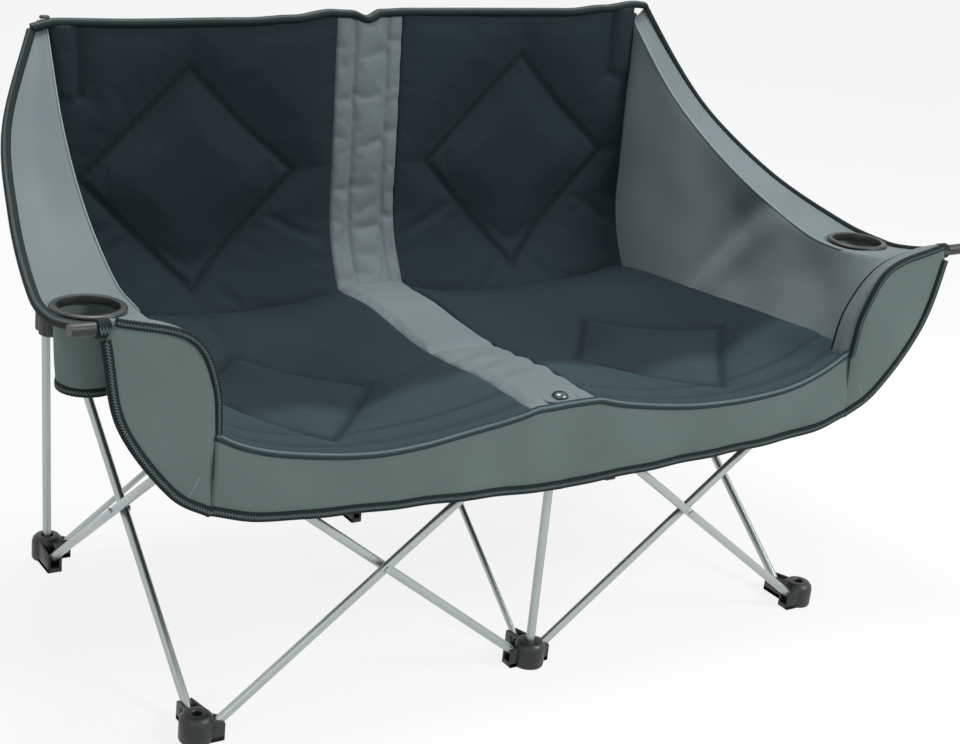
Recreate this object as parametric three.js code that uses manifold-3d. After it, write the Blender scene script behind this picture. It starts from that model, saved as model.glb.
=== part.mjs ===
// Folding camping loveseat: two quilted sling seats on one scissor-folding tube frame.
// Millimetres, +Z up, +Y to the rear, the person facing -Y.
import * as THREE from 'three';
import { mergeVertices } from 'three/addons/utils/BufferGeometryUtils.js';
import Module from 'manifold-3d';

const wasm = await Module();
wasm.setup();

// Frame layout
const footSpacing = 564;      // between neighbouring feet across the chair
const footDepth = 614;        // between the front and the rear feet
const footPivotZ = 21;
const hubPivotZ = 420;
const acrossReach = 22;       // from a foot's middle to the pivot of a tube running across
const depthReach = 47;        // from a foot's middle to the pivot of a tube running back
const postTopZ = 890;
const postBoreOffset = 25;    // a rear post passes its hub this far behind the hub's middle

// Tubes
const strongRadius = 7;       // front and outer side crosses, posts and arms
const slimRadius = 5;         // middle and back crosses
const tubeWall = 1;
const tubeOverhang = 9;       // tube past its end pivot
const runningGap = 0.6;
const seatGap = 0.3;          // between pieces that rest on one another
const pinRadius = 2.5;
const pinGap = 0.7;
const rivetHeadRadius = 5;
const rivetHeadHeight = 2;

// Feet and hubs
const footRadius = 25;
const footHeight = 42;
const hubRadius = 20;
const hubBelow = 24;          // hub under its pivots
const hubAbove = 18;          // hub over its pivots
const slotWall = 4.5;
const slotRoom = 12;          // slot around a tube's end, from the pivot
const armNose = 14;           // slotted arm past its pivot
const socketGap = 0.4;
const postLeanGap = 2.4;      // guide clearance round a leaning post
const footLeanGap = 2.4;        // socket clearance round a leaning post
const guideTravel = 4.5;      // extra length of a rear hub's guide
const guideWall = 6;

// Arms
const armPivotRise = 32;      // arm pivot over a front hub's pivots
const earThickness = 4.5;
const earReach = 10;
const armTip = [206, -29, 184];     // from the arm pivot, outwards, to the rear and up
const capFlange = 3;
const capStem = 12;
const plugGap = 0.9;

// Sling fabric
const stripHalfWidth = 65;
const seamGap = 0.4;
const padInset = 18;          // seat and back pads end this far inside the outer feet
const padOuter = footSpacing - padInset;
const seatFrontY = -22;
const rearInset = 8;          // seat ends this far before the rear feet
const seatRearY = footDepth - rearInset;
const padEdge = 8;            // thickness at the bound edges
const padCrown = 20;          // thickness added in the middle
const seatSag = 52;
const rimSag = 34;
const rearSag = 24;
const backBow = 26;
const quiltDepth = 9;
const clothThickness = 3.5;
const skirtBottomZ = 326;
const skirtFold = 5;
const cupRadius = 44;
const cupFlange = 7;
const cupDepth = 104;
const cupOut = 126;           // cup's middle, outwards from the outer feet
const cupBack = 125;          // cup's middle, to the rear of the front feet
const armrestZ = 606;
const creaseOut = 64;         // arm cloth's crease at the cup, outwards from the outer feet
const rimOut = 184;           // arm cloth's rim at the cup, outwards from the outer feet
const buttonRadius = 9;

const group = new THREE.Group();
const steel = { color: 0x9aa3a4, roughness: 0.38, metalness: 0.75 };
const plastic = { color: 0x17191a, roughness: 0.5, metalness: 0 };
const padCloth = { color: 0x232f34, roughness: 0.9, metalness: 0 };
const greyCloth = { color: 0x76858a, roughness: 0.9, metalness: 0 };
const skirtCloth = { color: 0x5f7a77, roughness: 0.9, metalness: 0 };

function addPiece(name, geometry, finish) {
  geometry.computeVertexNormals();
  const mesh = new THREE.Mesh(geometry, new THREE.MeshStandardMaterial(finish));
  mesh.name = name;
  group.add(mesh);
}

// Boolean work
function solidOf(geometry) {
  const bare = geometry.clone();
  bare.deleteAttribute('normal');
  bare.deleteAttribute('uv');
  const welded = mergeVertices(bare, 1e-4);
  return new wasm.Manifold(new wasm.Mesh({
    numProp: 3,
    vertProperties: Float32Array.from(welded.attributes.position.array),
    triVerts: Uint32Array.from(welded.index.array),
  }));
}

function geometryOf(solid) {
  const mesh = solid.getMesh();
  const geometry = new THREE.BufferGeometry();
  geometry.setAttribute('position', new THREE.BufferAttribute(mesh.vertProperties, 3));
  geometry.setIndex(new THREE.BufferAttribute(mesh.triVerts, 1));
  return geometry;
}

function joined(solids) {
  return solids.reduce((whole, next) => whole.add(next));
}

// Simple shapes
function box(x0, x1, y0, y1, z0, z1) {
  const shape = new THREE.BoxGeometry(x1 - x0, y1 - y0, z1 - z0);
  return shape.translate((x0 + x1) / 2, (y0 + y1) / 2, (z0 + z1) / 2);
}

function turned(profile, segments = 12) {
  const points = profile.map(([radius, z]) => new THREE.Vector2(radius, z));
  return new THREE.LatheGeometry(points, segments).rotateX(Math.PI / 2);
}

function rod(radius, from, to, segments = 6) {
  const along = new THREE.Vector3().subVectors(to, from);
  const shape = new THREE.CylinderGeometry(radius, radius, along.length(), segments);
  const turn = new THREE.Quaternion().setFromUnitVectors(
    new THREE.Vector3(0, 1, 0), along.clone().normalize());
  const middle = new THREE.Vector3().addVectors(from, to).multiplyScalar(0.5);
  return shape.applyQuaternion(turn).translate(middle.x, middle.y, middle.z);
}

function ringShape(radius) {
  const shape = new THREE.Shape().absarc(0, 0, radius, 0, 2 * Math.PI, false);
  shape.holes.push(new THREE.Path().absarc(0, 0, radius - tubeWall, 0, 2 * Math.PI, true));
  return shape;
}

function straightTube(radius, from, to) {
  const path = new THREE.LineCurve3(from, to);
  return new THREE.ExtrudeGeometry(ringShape(radius), { steps: 1, curveSegments: 4, extrudePath: path });
}

const alongX = new THREE.Vector3(1, 0, 0);
const againstX = new THREE.Vector3(-1, 0, 0);
const alongY = new THREE.Vector3(0, 1, 0);

// Every scissor tube has the same rise and run, so the whole frame folds as one.
const crossRise = hubPivotZ - footPivotZ;

// One tube's two end pivots. `run` points from its foot to its hub, `side` is its offset axis.
function endPivots(foot, run, span, reach, side, offset) {
  const low = new THREE.Vector3(foot[0], foot[1], footPivotZ).addScaledVector(run, reach);
  low.addScaledVector(side, offset);
  const high = low.clone().addScaledVector(run, span - 2 * reach);
  high.z = hubPivotZ;
  return { low, high };
}

function crossTube(name, ends, side, radius) {
  const along = new THREE.Vector3().subVectors(ends.high, ends.low).normalize();
  const from = ends.low.clone().addScaledVector(along, -tubeOverhang);
  const to = ends.high.clone().addScaledVector(along, tubeOverhang);
  const middle = ends.low.clone().lerp(ends.high, 0.5);
  let tube = solidOf(straightTube(radius, from, to));
  for (const point of [ends.low, middle, ends.high]) {
    const out = side.clone().multiplyScalar(2 * radius);
    const hole = rod(pinRadius + pinGap, point.clone().sub(out), point.clone().add(out));
    tube = tube.subtract(solidOf(hole));
  }
  addPiece(name, geometryOf(tube), steel);
}

function crossRivet(name, ends, side, radius, offset) {
  const reach = offset + radius + seatGap;
  const shape = turned([
    [0, -reach - rivetHeadHeight], [rivetHeadRadius, -reach - rivetHeadHeight],
    [rivetHeadRadius, -reach], [pinRadius, -reach], [pinRadius, reach],
    [rivetHeadRadius, reach], [rivetHeadRadius, reach + rivetHeadHeight], [0, reach + rivetHeadHeight],
  ], 10);
  shape.applyQuaternion(new THREE.Quaternion().setFromUnitVectors(new THREE.Vector3(0, 0, 1), side));
  const middle = ends.low.clone().lerp(ends.high, 0.5);
  middle.addScaledVector(side, -side.dot(middle) + crossPlane(ends, side, offset));
  addPiece(name, shape.translate(middle.x, middle.y, middle.z), steel);
}

function crossPlane(ends, side, offset) {
  return side.dot(ends.low) - offset;
}

// Places of the six feet, left to right
const places = {
  front_left: [-footSpacing, 0], front_middle: [0, 0], front_right: [footSpacing, 0],
  rear_left: [-footSpacing, footDepth], rear_middle: [0, footDepth], rear_right: [footSpacing, footDepth],
};

// The seven crosses. Each runs between two feet; its first tube starts at `a`, its second at `b`.
const crosses = [
  { name: 'front_left_cross', a: 'front_middle', b: 'front_left', side: alongY, reach: acrossReach,
    radius: strongRadius },
  { name: 'front_right_cross', a: 'front_middle', b: 'front_right', side: alongY, reach: acrossReach,
    radius: strongRadius },
  { name: 'left_side_cross', a: 'front_left', b: 'rear_left', side: alongX, reach: depthReach,
    radius: strongRadius },
  { name: 'middle_side_cross', a: 'front_middle', b: 'rear_middle', side: alongX, reach: depthReach,
    radius: slimRadius },
  { name: 'right_side_cross', a: 'front_right', b: 'rear_right', side: againstX, reach: depthReach,
    radius: strongRadius },
  { name: 'back_left_cross', a: 'rear_middle', b: 'rear_left', side: alongY, reach: acrossReach,
    radius: slimRadius },
  { name: 'back_right_cross', a: 'rear_middle', b: 'rear_right', side: alongY, reach: acrossReach,
    radius: slimRadius },
];

// Slots wanted in each foot and each hub
const footSlots = {};
const hubSlots = {};
for (const place of Object.keys(places)) {
  footSlots[place] = [];
  hubSlots[place] = [];
}

for (const cross of crosses) {
  const from = places[cross.a];
  const to = places[cross.b];
  const run = new THREE.Vector3(to[0] - from[0], to[1] - from[1], 0);
  const span = run.length();
  run.normalize();
  const back = run.clone().negate();
  const offset = cross.radius + runningGap;
  const first = endPivots(from, run, span, cross.reach, cross.side, offset);
  const second = endPivots(to, back, span, cross.reach, cross.side, -offset);
  crossTube(`${cross.name}_tube_a`, first, cross.side, cross.radius);
  crossTube(`${cross.name}_tube_b`, second, cross.side, cross.radius);
  crossRivet(`${cross.name}_rivet`, first, cross.side, cross.radius, offset);
  const slot = { side: cross.side, reach: cross.reach, radius: cross.radius };
  footSlots[cross.a].push({ ...slot, run, offset });
  footSlots[cross.b].push({ ...slot, run: back, offset: -offset });
  hubSlots[cross.b].push({ ...slot, run: back, offset });
  hubSlots[cross.a].push({ ...slot, run, offset: -offset });
}

// A box set out along `run` and across it, from the middle of a foot or hub
function slotBox(slot, from, to, halfWidth, z0, z1) {
  const a = slot.run.clone().multiplyScalar(from).addScaledVector(slot.side, slot.offset - halfWidth);
  const b = slot.run.clone().multiplyScalar(to).addScaledVector(slot.side, slot.offset + halfWidth);
  return box(Math.min(a.x, b.x), Math.max(a.x, b.x), Math.min(a.y, b.y), Math.max(a.y, b.y), z0, z1);
}

function slotPin(slot, z) {
  const middle = slot.run.clone().multiplyScalar(slot.reach).addScaledVector(slot.side, slot.offset);
  middle.z = z;
  const half = slot.side.clone().multiplyScalar(slot.radius + runningGap + slotWall / 2);
  return rod(pinRadius, middle.clone().sub(half), middle.clone().add(half));
}

// Slotted arms round a foot or hub: blocks, the slots cut in them and the pins left across the slots
function slotted(body, slots, pivotZ, armZ, slotZ) {
  let whole = solidOf(body);
  for (const slot of slots) {
    const half = slot.radius + runningGap + slotWall;
    whole = whole.add(solidOf(slotBox(slot, 0, slot.reach + armNose, half, armZ[0], armZ[1])));
  }
  for (const slot of slots) {
    const half = slot.radius + runningGap;
    const room = slotBox(slot, slot.reach - slotRoom, slot.reach + 3 * armNose, half, slotZ[0], slotZ[1]);
    whole = whole.subtract(solidOf(room));
  }
  for (const slot of slots) {
    whole = whole.add(solidOf(slotPin(slot, pivotZ)));
  }
  return whole;
}

const postLean = Math.atan2(postBoreOffset, crossRise);
const footFloorZ = footPivotZ - slotRoom;

function makeFoot(place) {
  const [x, y] = places[place];
  const leaning = place.startsWith('rear');
  const body = turned([[0, 0], [footRadius - 3, 0], [footRadius, 3], [footRadius, footHeight - 8],
    [footRadius - 4, footHeight], [0, footHeight]]);
  let foot = slotted(body, footSlots[place], footPivotZ, [0, footHeight - 4],
    [footFloorZ, footHeight + 1]);
  const bore = strongRadius + (leaning ? footLeanGap : socketGap);
  foot = foot.subtract(solidOf(turned([[0, footFloorZ], [bore, footFloorZ], [bore, footHeight + 1],
    [0, footHeight + 1]])));
  addPiece(`${place}_foot`, geometryOf(foot).translate(x, y, 0), plastic);
}

function makeHub(place) {
  const [x, y] = places[place];
  const low = hubPivotZ - hubBelow;
  const high = hubPivotZ + hubAbove;
  const body = turned([[0, low], [hubRadius - 2, low], [hubRadius, low + 2], [hubRadius, high - 3],
    [hubRadius - 3, high], [0, high]]);
  let hub = slotted(body, hubSlots[place], hubPivotZ, [hubPivotZ - slotRoom - 2, high],
    [low - 1, hubPivotZ + slotRoom]);
  if (place.startsWith('rear')) {
    hub = withPostGuide(hub, low, high);
  }
  if (place === 'front_middle') {
    const bore = strongRadius + socketGap;
    hub = hub.subtract(solidOf(turned([[0, low - 1], [bore, low - 1], [bore, hubPivotZ + 4],
      [0, hubPivotZ + 4]])));
    const stem = pinRadius + pinGap;
    hub = hub.subtract(solidOf(rod(stem, new THREE.Vector3(0, 0, hubPivotZ + 8),
      new THREE.Vector3(0, 0, high + 1))));
  }
  if (place === 'front_left' || place === 'front_right') {
    hub = withArmEars(hub, high);
  }
  addPiece(`${place}_hub`, geometryOf(hub).translate(x, y, 0), plastic);
}

// A rear hub slides up its leaning post through an oval guide.
function withPostGuide(hub, low, high) {
  const bore = strongRadius + postLeanGap;
  const far = postBoreOffset + guideTravel;
  const guide = joined([0, 1].map((end) => {
    const y = end ? far : postBoreOffset;
    return solidOf(turned([[0, low], [bore + guideWall, low], [bore + guideWall, high],
      [0, high]]).translate(0, y, 0));
  }));
  const hollow = joined([0, 1].map((end) => {
    const y = end ? far : postBoreOffset;
    return solidOf(turned([[0, low - 1], [bore, low - 1], [bore, high + 1], [0, high + 1]])
      .translate(0, y, 0));
  }));
  const between = solidOf(box(-bore, bore, postBoreOffset, far, low - 1, high + 1));
  return hub.add(guide).subtract(hollow).subtract(between);
}

// Two ears and a pin on top of an outer front hub carry the arm.
function withArmEars(hub, high) {
  const inner = strongRadius + runningGap;
  const outer = inner + earThickness;
  const pivotZ = hubPivotZ + armPivotRise;
  let whole = hub;
  for (const way of [-1, 1]) {
    const y0 = Math.min(way * inner, way * outer);
    whole = whole.add(solidOf(box(-earReach, earReach, y0, y0 + earThickness, high - 4,
      pivotZ + earReach)));
  }
  return whole.add(solidOf(rod(pinRadius, new THREE.Vector3(0, -outer + 1, pivotZ),
    new THREE.Vector3(0, outer - 1, pivotZ))));
}

for (const place of Object.keys(places)) {
  makeFoot(place);
  makeHub(place);
}

// Posts. The front post hangs from the middle hub; the rear posts lean back from their feet.
const postFootZ = footFloorZ + seatGap;
addPiece('front_middle_post', straightTube(strongRadius, new THREE.Vector3(0, 0, postFootZ),
  new THREE.Vector3(0, 0, hubPivotZ + 4 - seatGap)), steel);

function postPoint(z) {
  return footDepth + (z - footPivotZ) * Math.tan(postLean);
}

function plug(radius) {
  const stem = radius - tubeWall - plugGap;
  return turned([[0, -capStem], [stem, -capStem], [stem, seatGap], [radius + 1, seatGap],
    [radius + 1, capFlange], [radius - 1, capFlange + 1.5], [0, capFlange + 1.5]], 14);
}

for (const place of ['rear_left', 'rear_middle', 'rear_right']) {
  const x = places[place][0];
  const low = new THREE.Vector3(x, postPoint(postFootZ + 1), postFootZ + 1);
  const high = new THREE.Vector3(x, postPoint(postTopZ), postTopZ);
  addPiece(`${place}_post`, straightTube(strongRadius, low, high), steel);
  const cap = plug(strongRadius).rotateX(-postLean).translate(high.x, high.y, high.z);
  addPiece(`${place}_post_cap`, cap, plastic);
}

// Arms: a bent tube that stands in the hub's ears and turns out to its tip
const armPivotZ = hubPivotZ + armPivotRise;

function armPoint(way, [out, back, up]) {
  return new THREE.Vector3(way * (footSpacing + out), back, armPivotZ + up);
}

function armCurve(way) {
  const [out, back, up] = armTip;
  return new THREE.CatmullRomCurve3([
    armPoint(way, [0, 0, -tubeOverhang]), armPoint(way, [0, 0, 20]),
    armPoint(way, [out * 0.04, back * 0.2, up * 0.45]), armPoint(way, [out * 0.22, back * 0.55, up * 0.8]),
    armPoint(way, [out * 0.55, back * 0.85, up * 0.97]), armPoint(way, armTip),
  ]);
}

for (const [hand, way] of [['left', -1], ['right', 1]]) {
  const curve = armCurve(way);
  const shape = new THREE.ExtrudeGeometry(ringShape(strongRadius),
    { steps: 12, curveSegments: 4, extrudePath: curve });
  const pivot = armPoint(way, [0, 0, 0]);
  const hole = rod(pinRadius + pinGap, pivot.clone().add(new THREE.Vector3(0, -2 * strongRadius, 0)),
    pivot.clone().add(new THREE.Vector3(0, 2 * strongRadius, 0)));
  addPiece(`${hand}_arm_tube`, geometryOf(solidOf(shape).subtract(solidOf(hole))), steel);
  const turn = new THREE.Quaternion().setFromUnitVectors(new THREE.Vector3(0, 0, 1),
    curve.getTangent(1));
  const tip = armPoint(way, armTip);
  addPiece(`${hand}_arm_tip_cap`, plug(strongRadius).applyQuaternion(turn)
    .translate(tip.x, tip.y, tip.z), plastic);
}

// A closed sheet between two surfaces that are both given over the unit square
function sheet(columns, rows, front, back, flip = () => false) {
  const points = [];
  const faces = [];
  const across = columns + 1;
  const layer = across * (rows + 1);
  for (const surface of [front, back]) {
    for (let j = 0; j <= rows; j += 1) {
      for (let i = 0; i <= columns; i += 1) {
        points.push(...surface(i / columns, j / rows));
      }
    }
  }
  for (let j = 0; j < rows; j += 1) {
    for (let i = 0; i < columns; i += 1) {
      const a = j * across + i;
      const [b, c, d] = [a + 1, a + across + 1, a + across];
      const cut = flip(i, j) ? [[a, b, d], [b, c, d]] : [[a, b, c], [a, c, d]];
      for (const [p, q, r] of cut) {
        faces.push(p, q, r, p + layer, r + layer, q + layer);
      }
    }
  }
  const rim = [];
  for (let i = 0; i < columns; i += 1) rim.push(i);
  for (let j = 0; j < rows; j += 1) rim.push(j * across + columns);
  for (let i = columns; i > 0; i -= 1) rim.push(rows * across + i);
  for (let j = rows; j > 0; j -= 1) rim.push(j * across);
  rim.forEach((p, k) => {
    const q = rim[(k + 1) % rim.length];
    faces.push(q, p, p + layer, q, p + layer, q + layer);
  });
  const geometry = new THREE.BufferGeometry();
  geometry.setAttribute('position', new THREE.Float32BufferAttribute(points, 3));
  geometry.setIndex(faces);
  return outward(geometry);
}

// Turns a closed geometry right side out
function outward(geometry) {
  const place = geometry.attributes.position;
  const index = geometry.index.array;
  const [a, b, c] = [new THREE.Vector3(), new THREE.Vector3(), new THREE.Vector3()];
  let volume = 0;
  for (let k = 0; k < index.length; k += 3) {
    a.fromBufferAttribute(place, index[k]);
    b.fromBufferAttribute(place, index[k + 1]);
    c.fromBufferAttribute(place, index[k + 2]);
    volume += a.dot(b.cross(c));
  }
  if (volume < 0) {
    for (let k = 0; k < index.length; k += 3) {
      [index[k + 1], index[k + 2]] = [index[k + 2], index[k + 1]];
    }
  }
  return geometry;
}

const lerp = THREE.MathUtils.lerp;
const hump = (t) => Math.sin(Math.PI * THREE.MathUtils.clamp(t, 0, 1));

// Quilting: a sewn diamond in the middle of a pad and, on the seats, channels behind the front rim
const padColumns = 14;
const padRows = 14;
const diamondCells = 5;
const diamondMiddle = 7;

function quilt(s, t, channels) {
  const i = s * padColumns - diamondMiddle;
  const j = t * padRows - diamondMiddle;
  const off = Math.abs(Math.abs(i) + Math.abs(j) - diamondCells);
  let groove = Math.max(0, 1 - off);
  if (channels && t < 0.5) {
    groove = Math.max(groove, Math.max(0, 1 - Math.abs(t * padRows - 1)));
  }
  return quiltDepth * groove * hump(s) ** 0.3 * hump(t) ** 0.3;
}

function diamondFlip(i, j) {
  return (i < diamondMiddle) !== (j < diamondMiddle);
}

// Seat level under the cloth: held at the hubs, sagging between them
const seatLevelZ = hubPivotZ + hubAbove + seatGap;

const hubArm = acrossReach + armNose;
const hubShare = (hubArm - (footSpacing - padOuter)) / (padOuter - stripHalfWidth);
const flatEdge = Math.ceil(hubShare * padColumns) / padColumns;
const sagAcross = (s) => hump(s / (1 - flatEdge)) ** 0.8;

function seatLevel(s, t) {
  const hang = lerp(rimSag, rearSag, t) + (seatSag - (rimSag + rearSag) / 2) * hump(t);
  return seatLevelZ - hang * sagAcross(s);
}

function padThickness(s, t) {
  return padEdge + padCrown * (hump(s) * hump(t)) ** 0.45;
}

function padX(way, s) {
  return way * lerp(stripHalfWidth + seamGap, padOuter, s);
}

function backLevel(s, t) {
  const low = seatLevelZ + padEdge + seamGap - rearSag * sagAcross(s);
  return lerp(low, postTopZ - 6, t);
}

// Rear face of the back cloth
function backRear(s, t) {
  const rear = postPoint(backLevel(s, t)) - strongRadius - seatGap - 0.5;
  return rear + backBow * hump(s) * hump(lerp(0.2, 0.9, t));
}

for (const [hand, way] of [['left', -1], ['right', 1]]) {
  const seatPoint = (s, t, z) => [padX(way, s), lerp(seatFrontY, seatRearY, t), z];
  addPiece(`${hand}_seat_pad`, sheet(padColumns, padRows,
    (s, t) => seatPoint(s, t, seatLevel(s, t) + padThickness(s, t) - quilt(s, t, true)),
    (s, t) => seatPoint(s, t, seatLevel(s, t)), diamondFlip), padCloth);
  addPiece(`${hand}_back_pad`, sheet(padColumns, padRows,
    (s, t) => [padX(way, s), backRear(s, t) - padThickness(s, t) + quilt(s, t, false), backLevel(s, t)],
    (s, t) => [padX(way, s), backRear(s, t), backLevel(s, t)], diamondFlip), padCloth);
}

// The centre strip: three quilted columns with puckers, over the seat and up the back
const stripColumns = 6;
const stripRows = 12;
const stripCrown = 5;

function stripPuff(s, t) {
  return padEdge + stripCrown * Math.abs(Math.sin(3 * Math.PI * s)) * Math.abs(Math.sin(6 * Math.PI * t)) ** 0.4;
}

const stripX = (s) => lerp(-stripHalfWidth, stripHalfWidth, s);
const stripSag = 14;
const armShare = (depthReach + armNose - seatFrontY) / (seatRearY - seatFrontY);
const stripFlat = Math.ceil(armShare * stripRows) / stripRows;
const stripLevel = (t) => seatLevelZ - stripSag * hump((t - stripFlat) / (1 - 2 * stripFlat)) ** 2;
const seatStrip = sheet(stripColumns, stripRows,
  (s, t) => [stripX(s), lerp(seatFrontY, seatRearY, t), stripLevel(t) + stripPuff(s, t)],
  (s, t) => [stripX(s), lerp(seatFrontY, seatRearY, t), stripLevel(t)]);
const buttonhole = box(-pinRadius - 1, pinRadius + 1, -14, 14, seatLevelZ - 20, seatLevelZ + 40);
addPiece('seat_centre_strip', geometryOf(solidOf(seatStrip).subtract(solidOf(buttonhole))), greyCloth);

const stripRear = (t) => postPoint(backLevel(0, t)) - strongRadius - seatGap - 0.5;
addPiece('back_centre_strip', sheet(stripColumns, stripRows,
  (s, t) => [stripX(s), stripRear(t) - stripPuff(s, t), backLevel(0, t)],
  (s, t) => [stripX(s), stripRear(t), backLevel(0, t)]), greyCloth);

// The button that holds the strip down on the middle hub
const buttonSeatZ = seatLevelZ + padEdge + stripCrown + seatGap;
addPiece('seat_button', turned([[0, hubPivotZ + 8 + seatGap], [pinRadius, hubPivotZ + 8 + seatGap],
  [pinRadius, buttonSeatZ], [buttonRadius, buttonSeatZ], [buttonRadius, buttonSeatZ + 2],
  [buttonRadius - 3, buttonSeatZ + 4], [0, buttonSeatZ + 4]], 16), steel);

// The front skirt hangs from the seat's front rim in soft folds.
const skirtColumns = 32;
const skirtRows = 4;
const skirtHalf = footSpacing + 8;

function rimTop(x) {
  const s = (Math.abs(x) - stripHalfWidth) / (padOuter - stripHalfWidth);
  const z = s < 0 ? stripLevel(0) : seatLevel(THREE.MathUtils.clamp(s, 0, 1), 0);
  return z + padEdge - 1;
}

function skirtPoint(s, t, depth) {
  const x = lerp(-skirtHalf, skirtHalf, s);
  const fold = skirtFold * (1 - Math.cos(20 * Math.PI * s)) / 2 * (1 - t);
  return [x, seatFrontY - seamGap - fold - depth, lerp(skirtBottomZ, rimTop(x), t)];
}

addPiece('front_skirt', sheet(skirtColumns, skirtRows, (s, t) => skirtPoint(s, t, clothThickness),
  (s, t) => skirtPoint(s, t, 0)), skirtCloth);

// Arm cloth: an inner wall up from the seat's side, then an armrest band out to the bound rim
const sideX = padOuter + seamGap;
const armFrontY = strongRadius + runningGap + earThickness + seatGap + 3;
const armTopZ = postTopZ - 8;
const armRearY = (z) => postPoint(z) - strongRadius - 2 * seatGap - 0.5;
const foldRow = 0.6;

// A line along the arm: shares of `out` outwards, of the depth to the rear and of the rise to the top
function armLine(out, rear, shares) {
  const points = shares.map(([across, back, up]) => new THREE.Vector3(footSpacing + across * out,
    back * footDepth, lerp(armrestZ, armTopZ, up)));
  const cup = new THREE.Vector3(footSpacing + out, cupBack - 5, armrestZ);
  return new THREE.CatmullRomCurve3([rear, ...points, cup]);
}

const creaseLine = armLine(creaseOut, new THREE.Vector3(footSpacing, armRearY(armTopZ), armTopZ),
  [[0.375, 0.847, 0.565], [0.69, 0.603, 0.254], [0.94, 0.342, 0.043]]);
creaseLine.points.push(new THREE.Vector3(footSpacing + 1.19 * creaseOut, armFrontY, armrestZ + 6));
const rimLine = armLine(rimOut, new THREE.Vector3(footSpacing + 24, armRearY(armTopZ) - 2, armTopZ),
  [[0.543, 0.879, 0.529], [0.772, 0.619, 0.21], [0.946, 0.35, 0.036]]);
rimLine.points.push(new THREE.Vector3(footSpacing + 0.924 * rimOut, armFrontY, armrestZ + 6));

function armSurface(u, v) {
  const crease = creaseLine.getPoint(u);
  if (v >= foldRow) {
    return crease.clone().lerp(rimLine.getPoint(u), (v - foldRow) / (1 - foldRow));
  }
  const t = v / foldRow;
  const lowZ = seatLevelZ + clothThickness;
  const low = new THREE.Vector3(sideX, lerp(armRearY(lowZ), armFrontY, u), lowZ);
  return low.lerp(crease, t).add(new THREE.Vector3(14 * hump(t) * hump(u), 0, 0));
}

function armNormal(u, v) {
  const step = 0.02;
  const du = armSurface(Math.min(1, u + step), v).sub(armSurface(Math.max(0, u - step), v));
  const dv = armSurface(u, Math.min(1, v + step)).sub(armSurface(u, Math.max(0, v - step)));
  return new THREE.Vector3().crossVectors(dv, du).normalize();
}

const seatLow = armrestZ - clothThickness - 1;
const seatHigh = armrestZ + 3;

// Grid lines of the arm cloth. Four columns and four rows close in on the cup hole.
const armColumns = [0, 0.07, 0.14, 0.21, 0.28, 0.35, 0.42, 0.49, 0.56, 0.63, 0.71, 0.7475, 0.785, 0.8225,
  0.86, 0.93, 1];
const bandShares = [0, 0.2, 0.35, 0.5, 0.65, 0.8, 1];
const armRows = [0, 0.2, 0.4, 0.6, 0.8].map((share) => share * foldRow)
  .concat(bandShares.map((share) => lerp(foldRow, 1, share)));
const holeColumn = 12;
const holeRow = 8;
const holeCells = 2;
const holeRadius = cupRadius + 5;

// A point of the cloth; the points round the cup hole are drawn out to a circle.
function armPoints(i, j) {
  const [u, v] = [armColumns[i], armRows[j]];
  const [p, q] = [i - holeColumn, j - holeRow];
  const face = armSurface(u, v);
  const under = armNormal(u, v);
  if (Math.max(Math.abs(p), Math.abs(q)) === holeCells) {
    const angle = Math.atan2(q, p);
    face.set(footSpacing + cupOut + holeRadius * Math.sin(angle), cupBack - holeRadius * Math.cos(angle),
      seatHigh - 0.7);
    under.set(0, 0, -1);
  }
  return [face, under.multiplyScalar(clothThickness).add(face)];
}

// The arm cloth with its cup hole, for the right side; the left one is its mirror image
function armPanel() {
  const points = [];
  const numbers = new Map();
  for (let j = 0; j < armRows.length; j += 1) {
    for (let i = 0; i < armColumns.length; i += 1) {
      if (Math.max(Math.abs(i - holeColumn), Math.abs(j - holeRow)) >= holeCells) {
        numbers.set(`${i} ${j}`, points.length / 6);
        points.push(...armPoints(i, j).flatMap((point) => point.toArray()));
      }
    }
  }
  const faces = [];
  const edges = new Map();
  const number = (i, j) => 2 * numbers.get(`${i} ${j}`);
  for (let j = 0; j + 1 < armRows.length; j += 1) {
    for (let i = 0; i + 1 < armColumns.length; i += 1) {
      const inHole = Math.max(Math.abs(i + 0.5 - holeColumn), Math.abs(j + 0.5 - holeRow)) < holeCells;
      if (!inHole) {
        const ring = [number(i, j), number(i + 1, j), number(i + 1, j + 1), number(i, j + 1)];
        const [a, b, c, d] = ring;
        faces.push(a, b, c, a, c, d, a + 1, c + 1, b + 1, a + 1, d + 1, c + 1);
        ring.forEach((from, k) => edges.set(`${from} ${ring[(k + 1) % 4]}`, [from, ring[(k + 1) % 4]]));
      }
    }
  }
  for (const [from, to] of edges.values()) {
    if (!edges.has(`${to} ${from}`)) faces.push(to, from, from + 1, to, from + 1, to + 1);
  }
  const geometry = new THREE.BufferGeometry();
  geometry.setAttribute('position', new THREE.Float32BufferAttribute(points, 3));
  geometry.setIndex(faces);
  return outward(geometry);
}

const rightPanel = armPanel();
const leftPanel = outward(rightPanel.clone().scale(-1, 1, 1));

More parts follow.
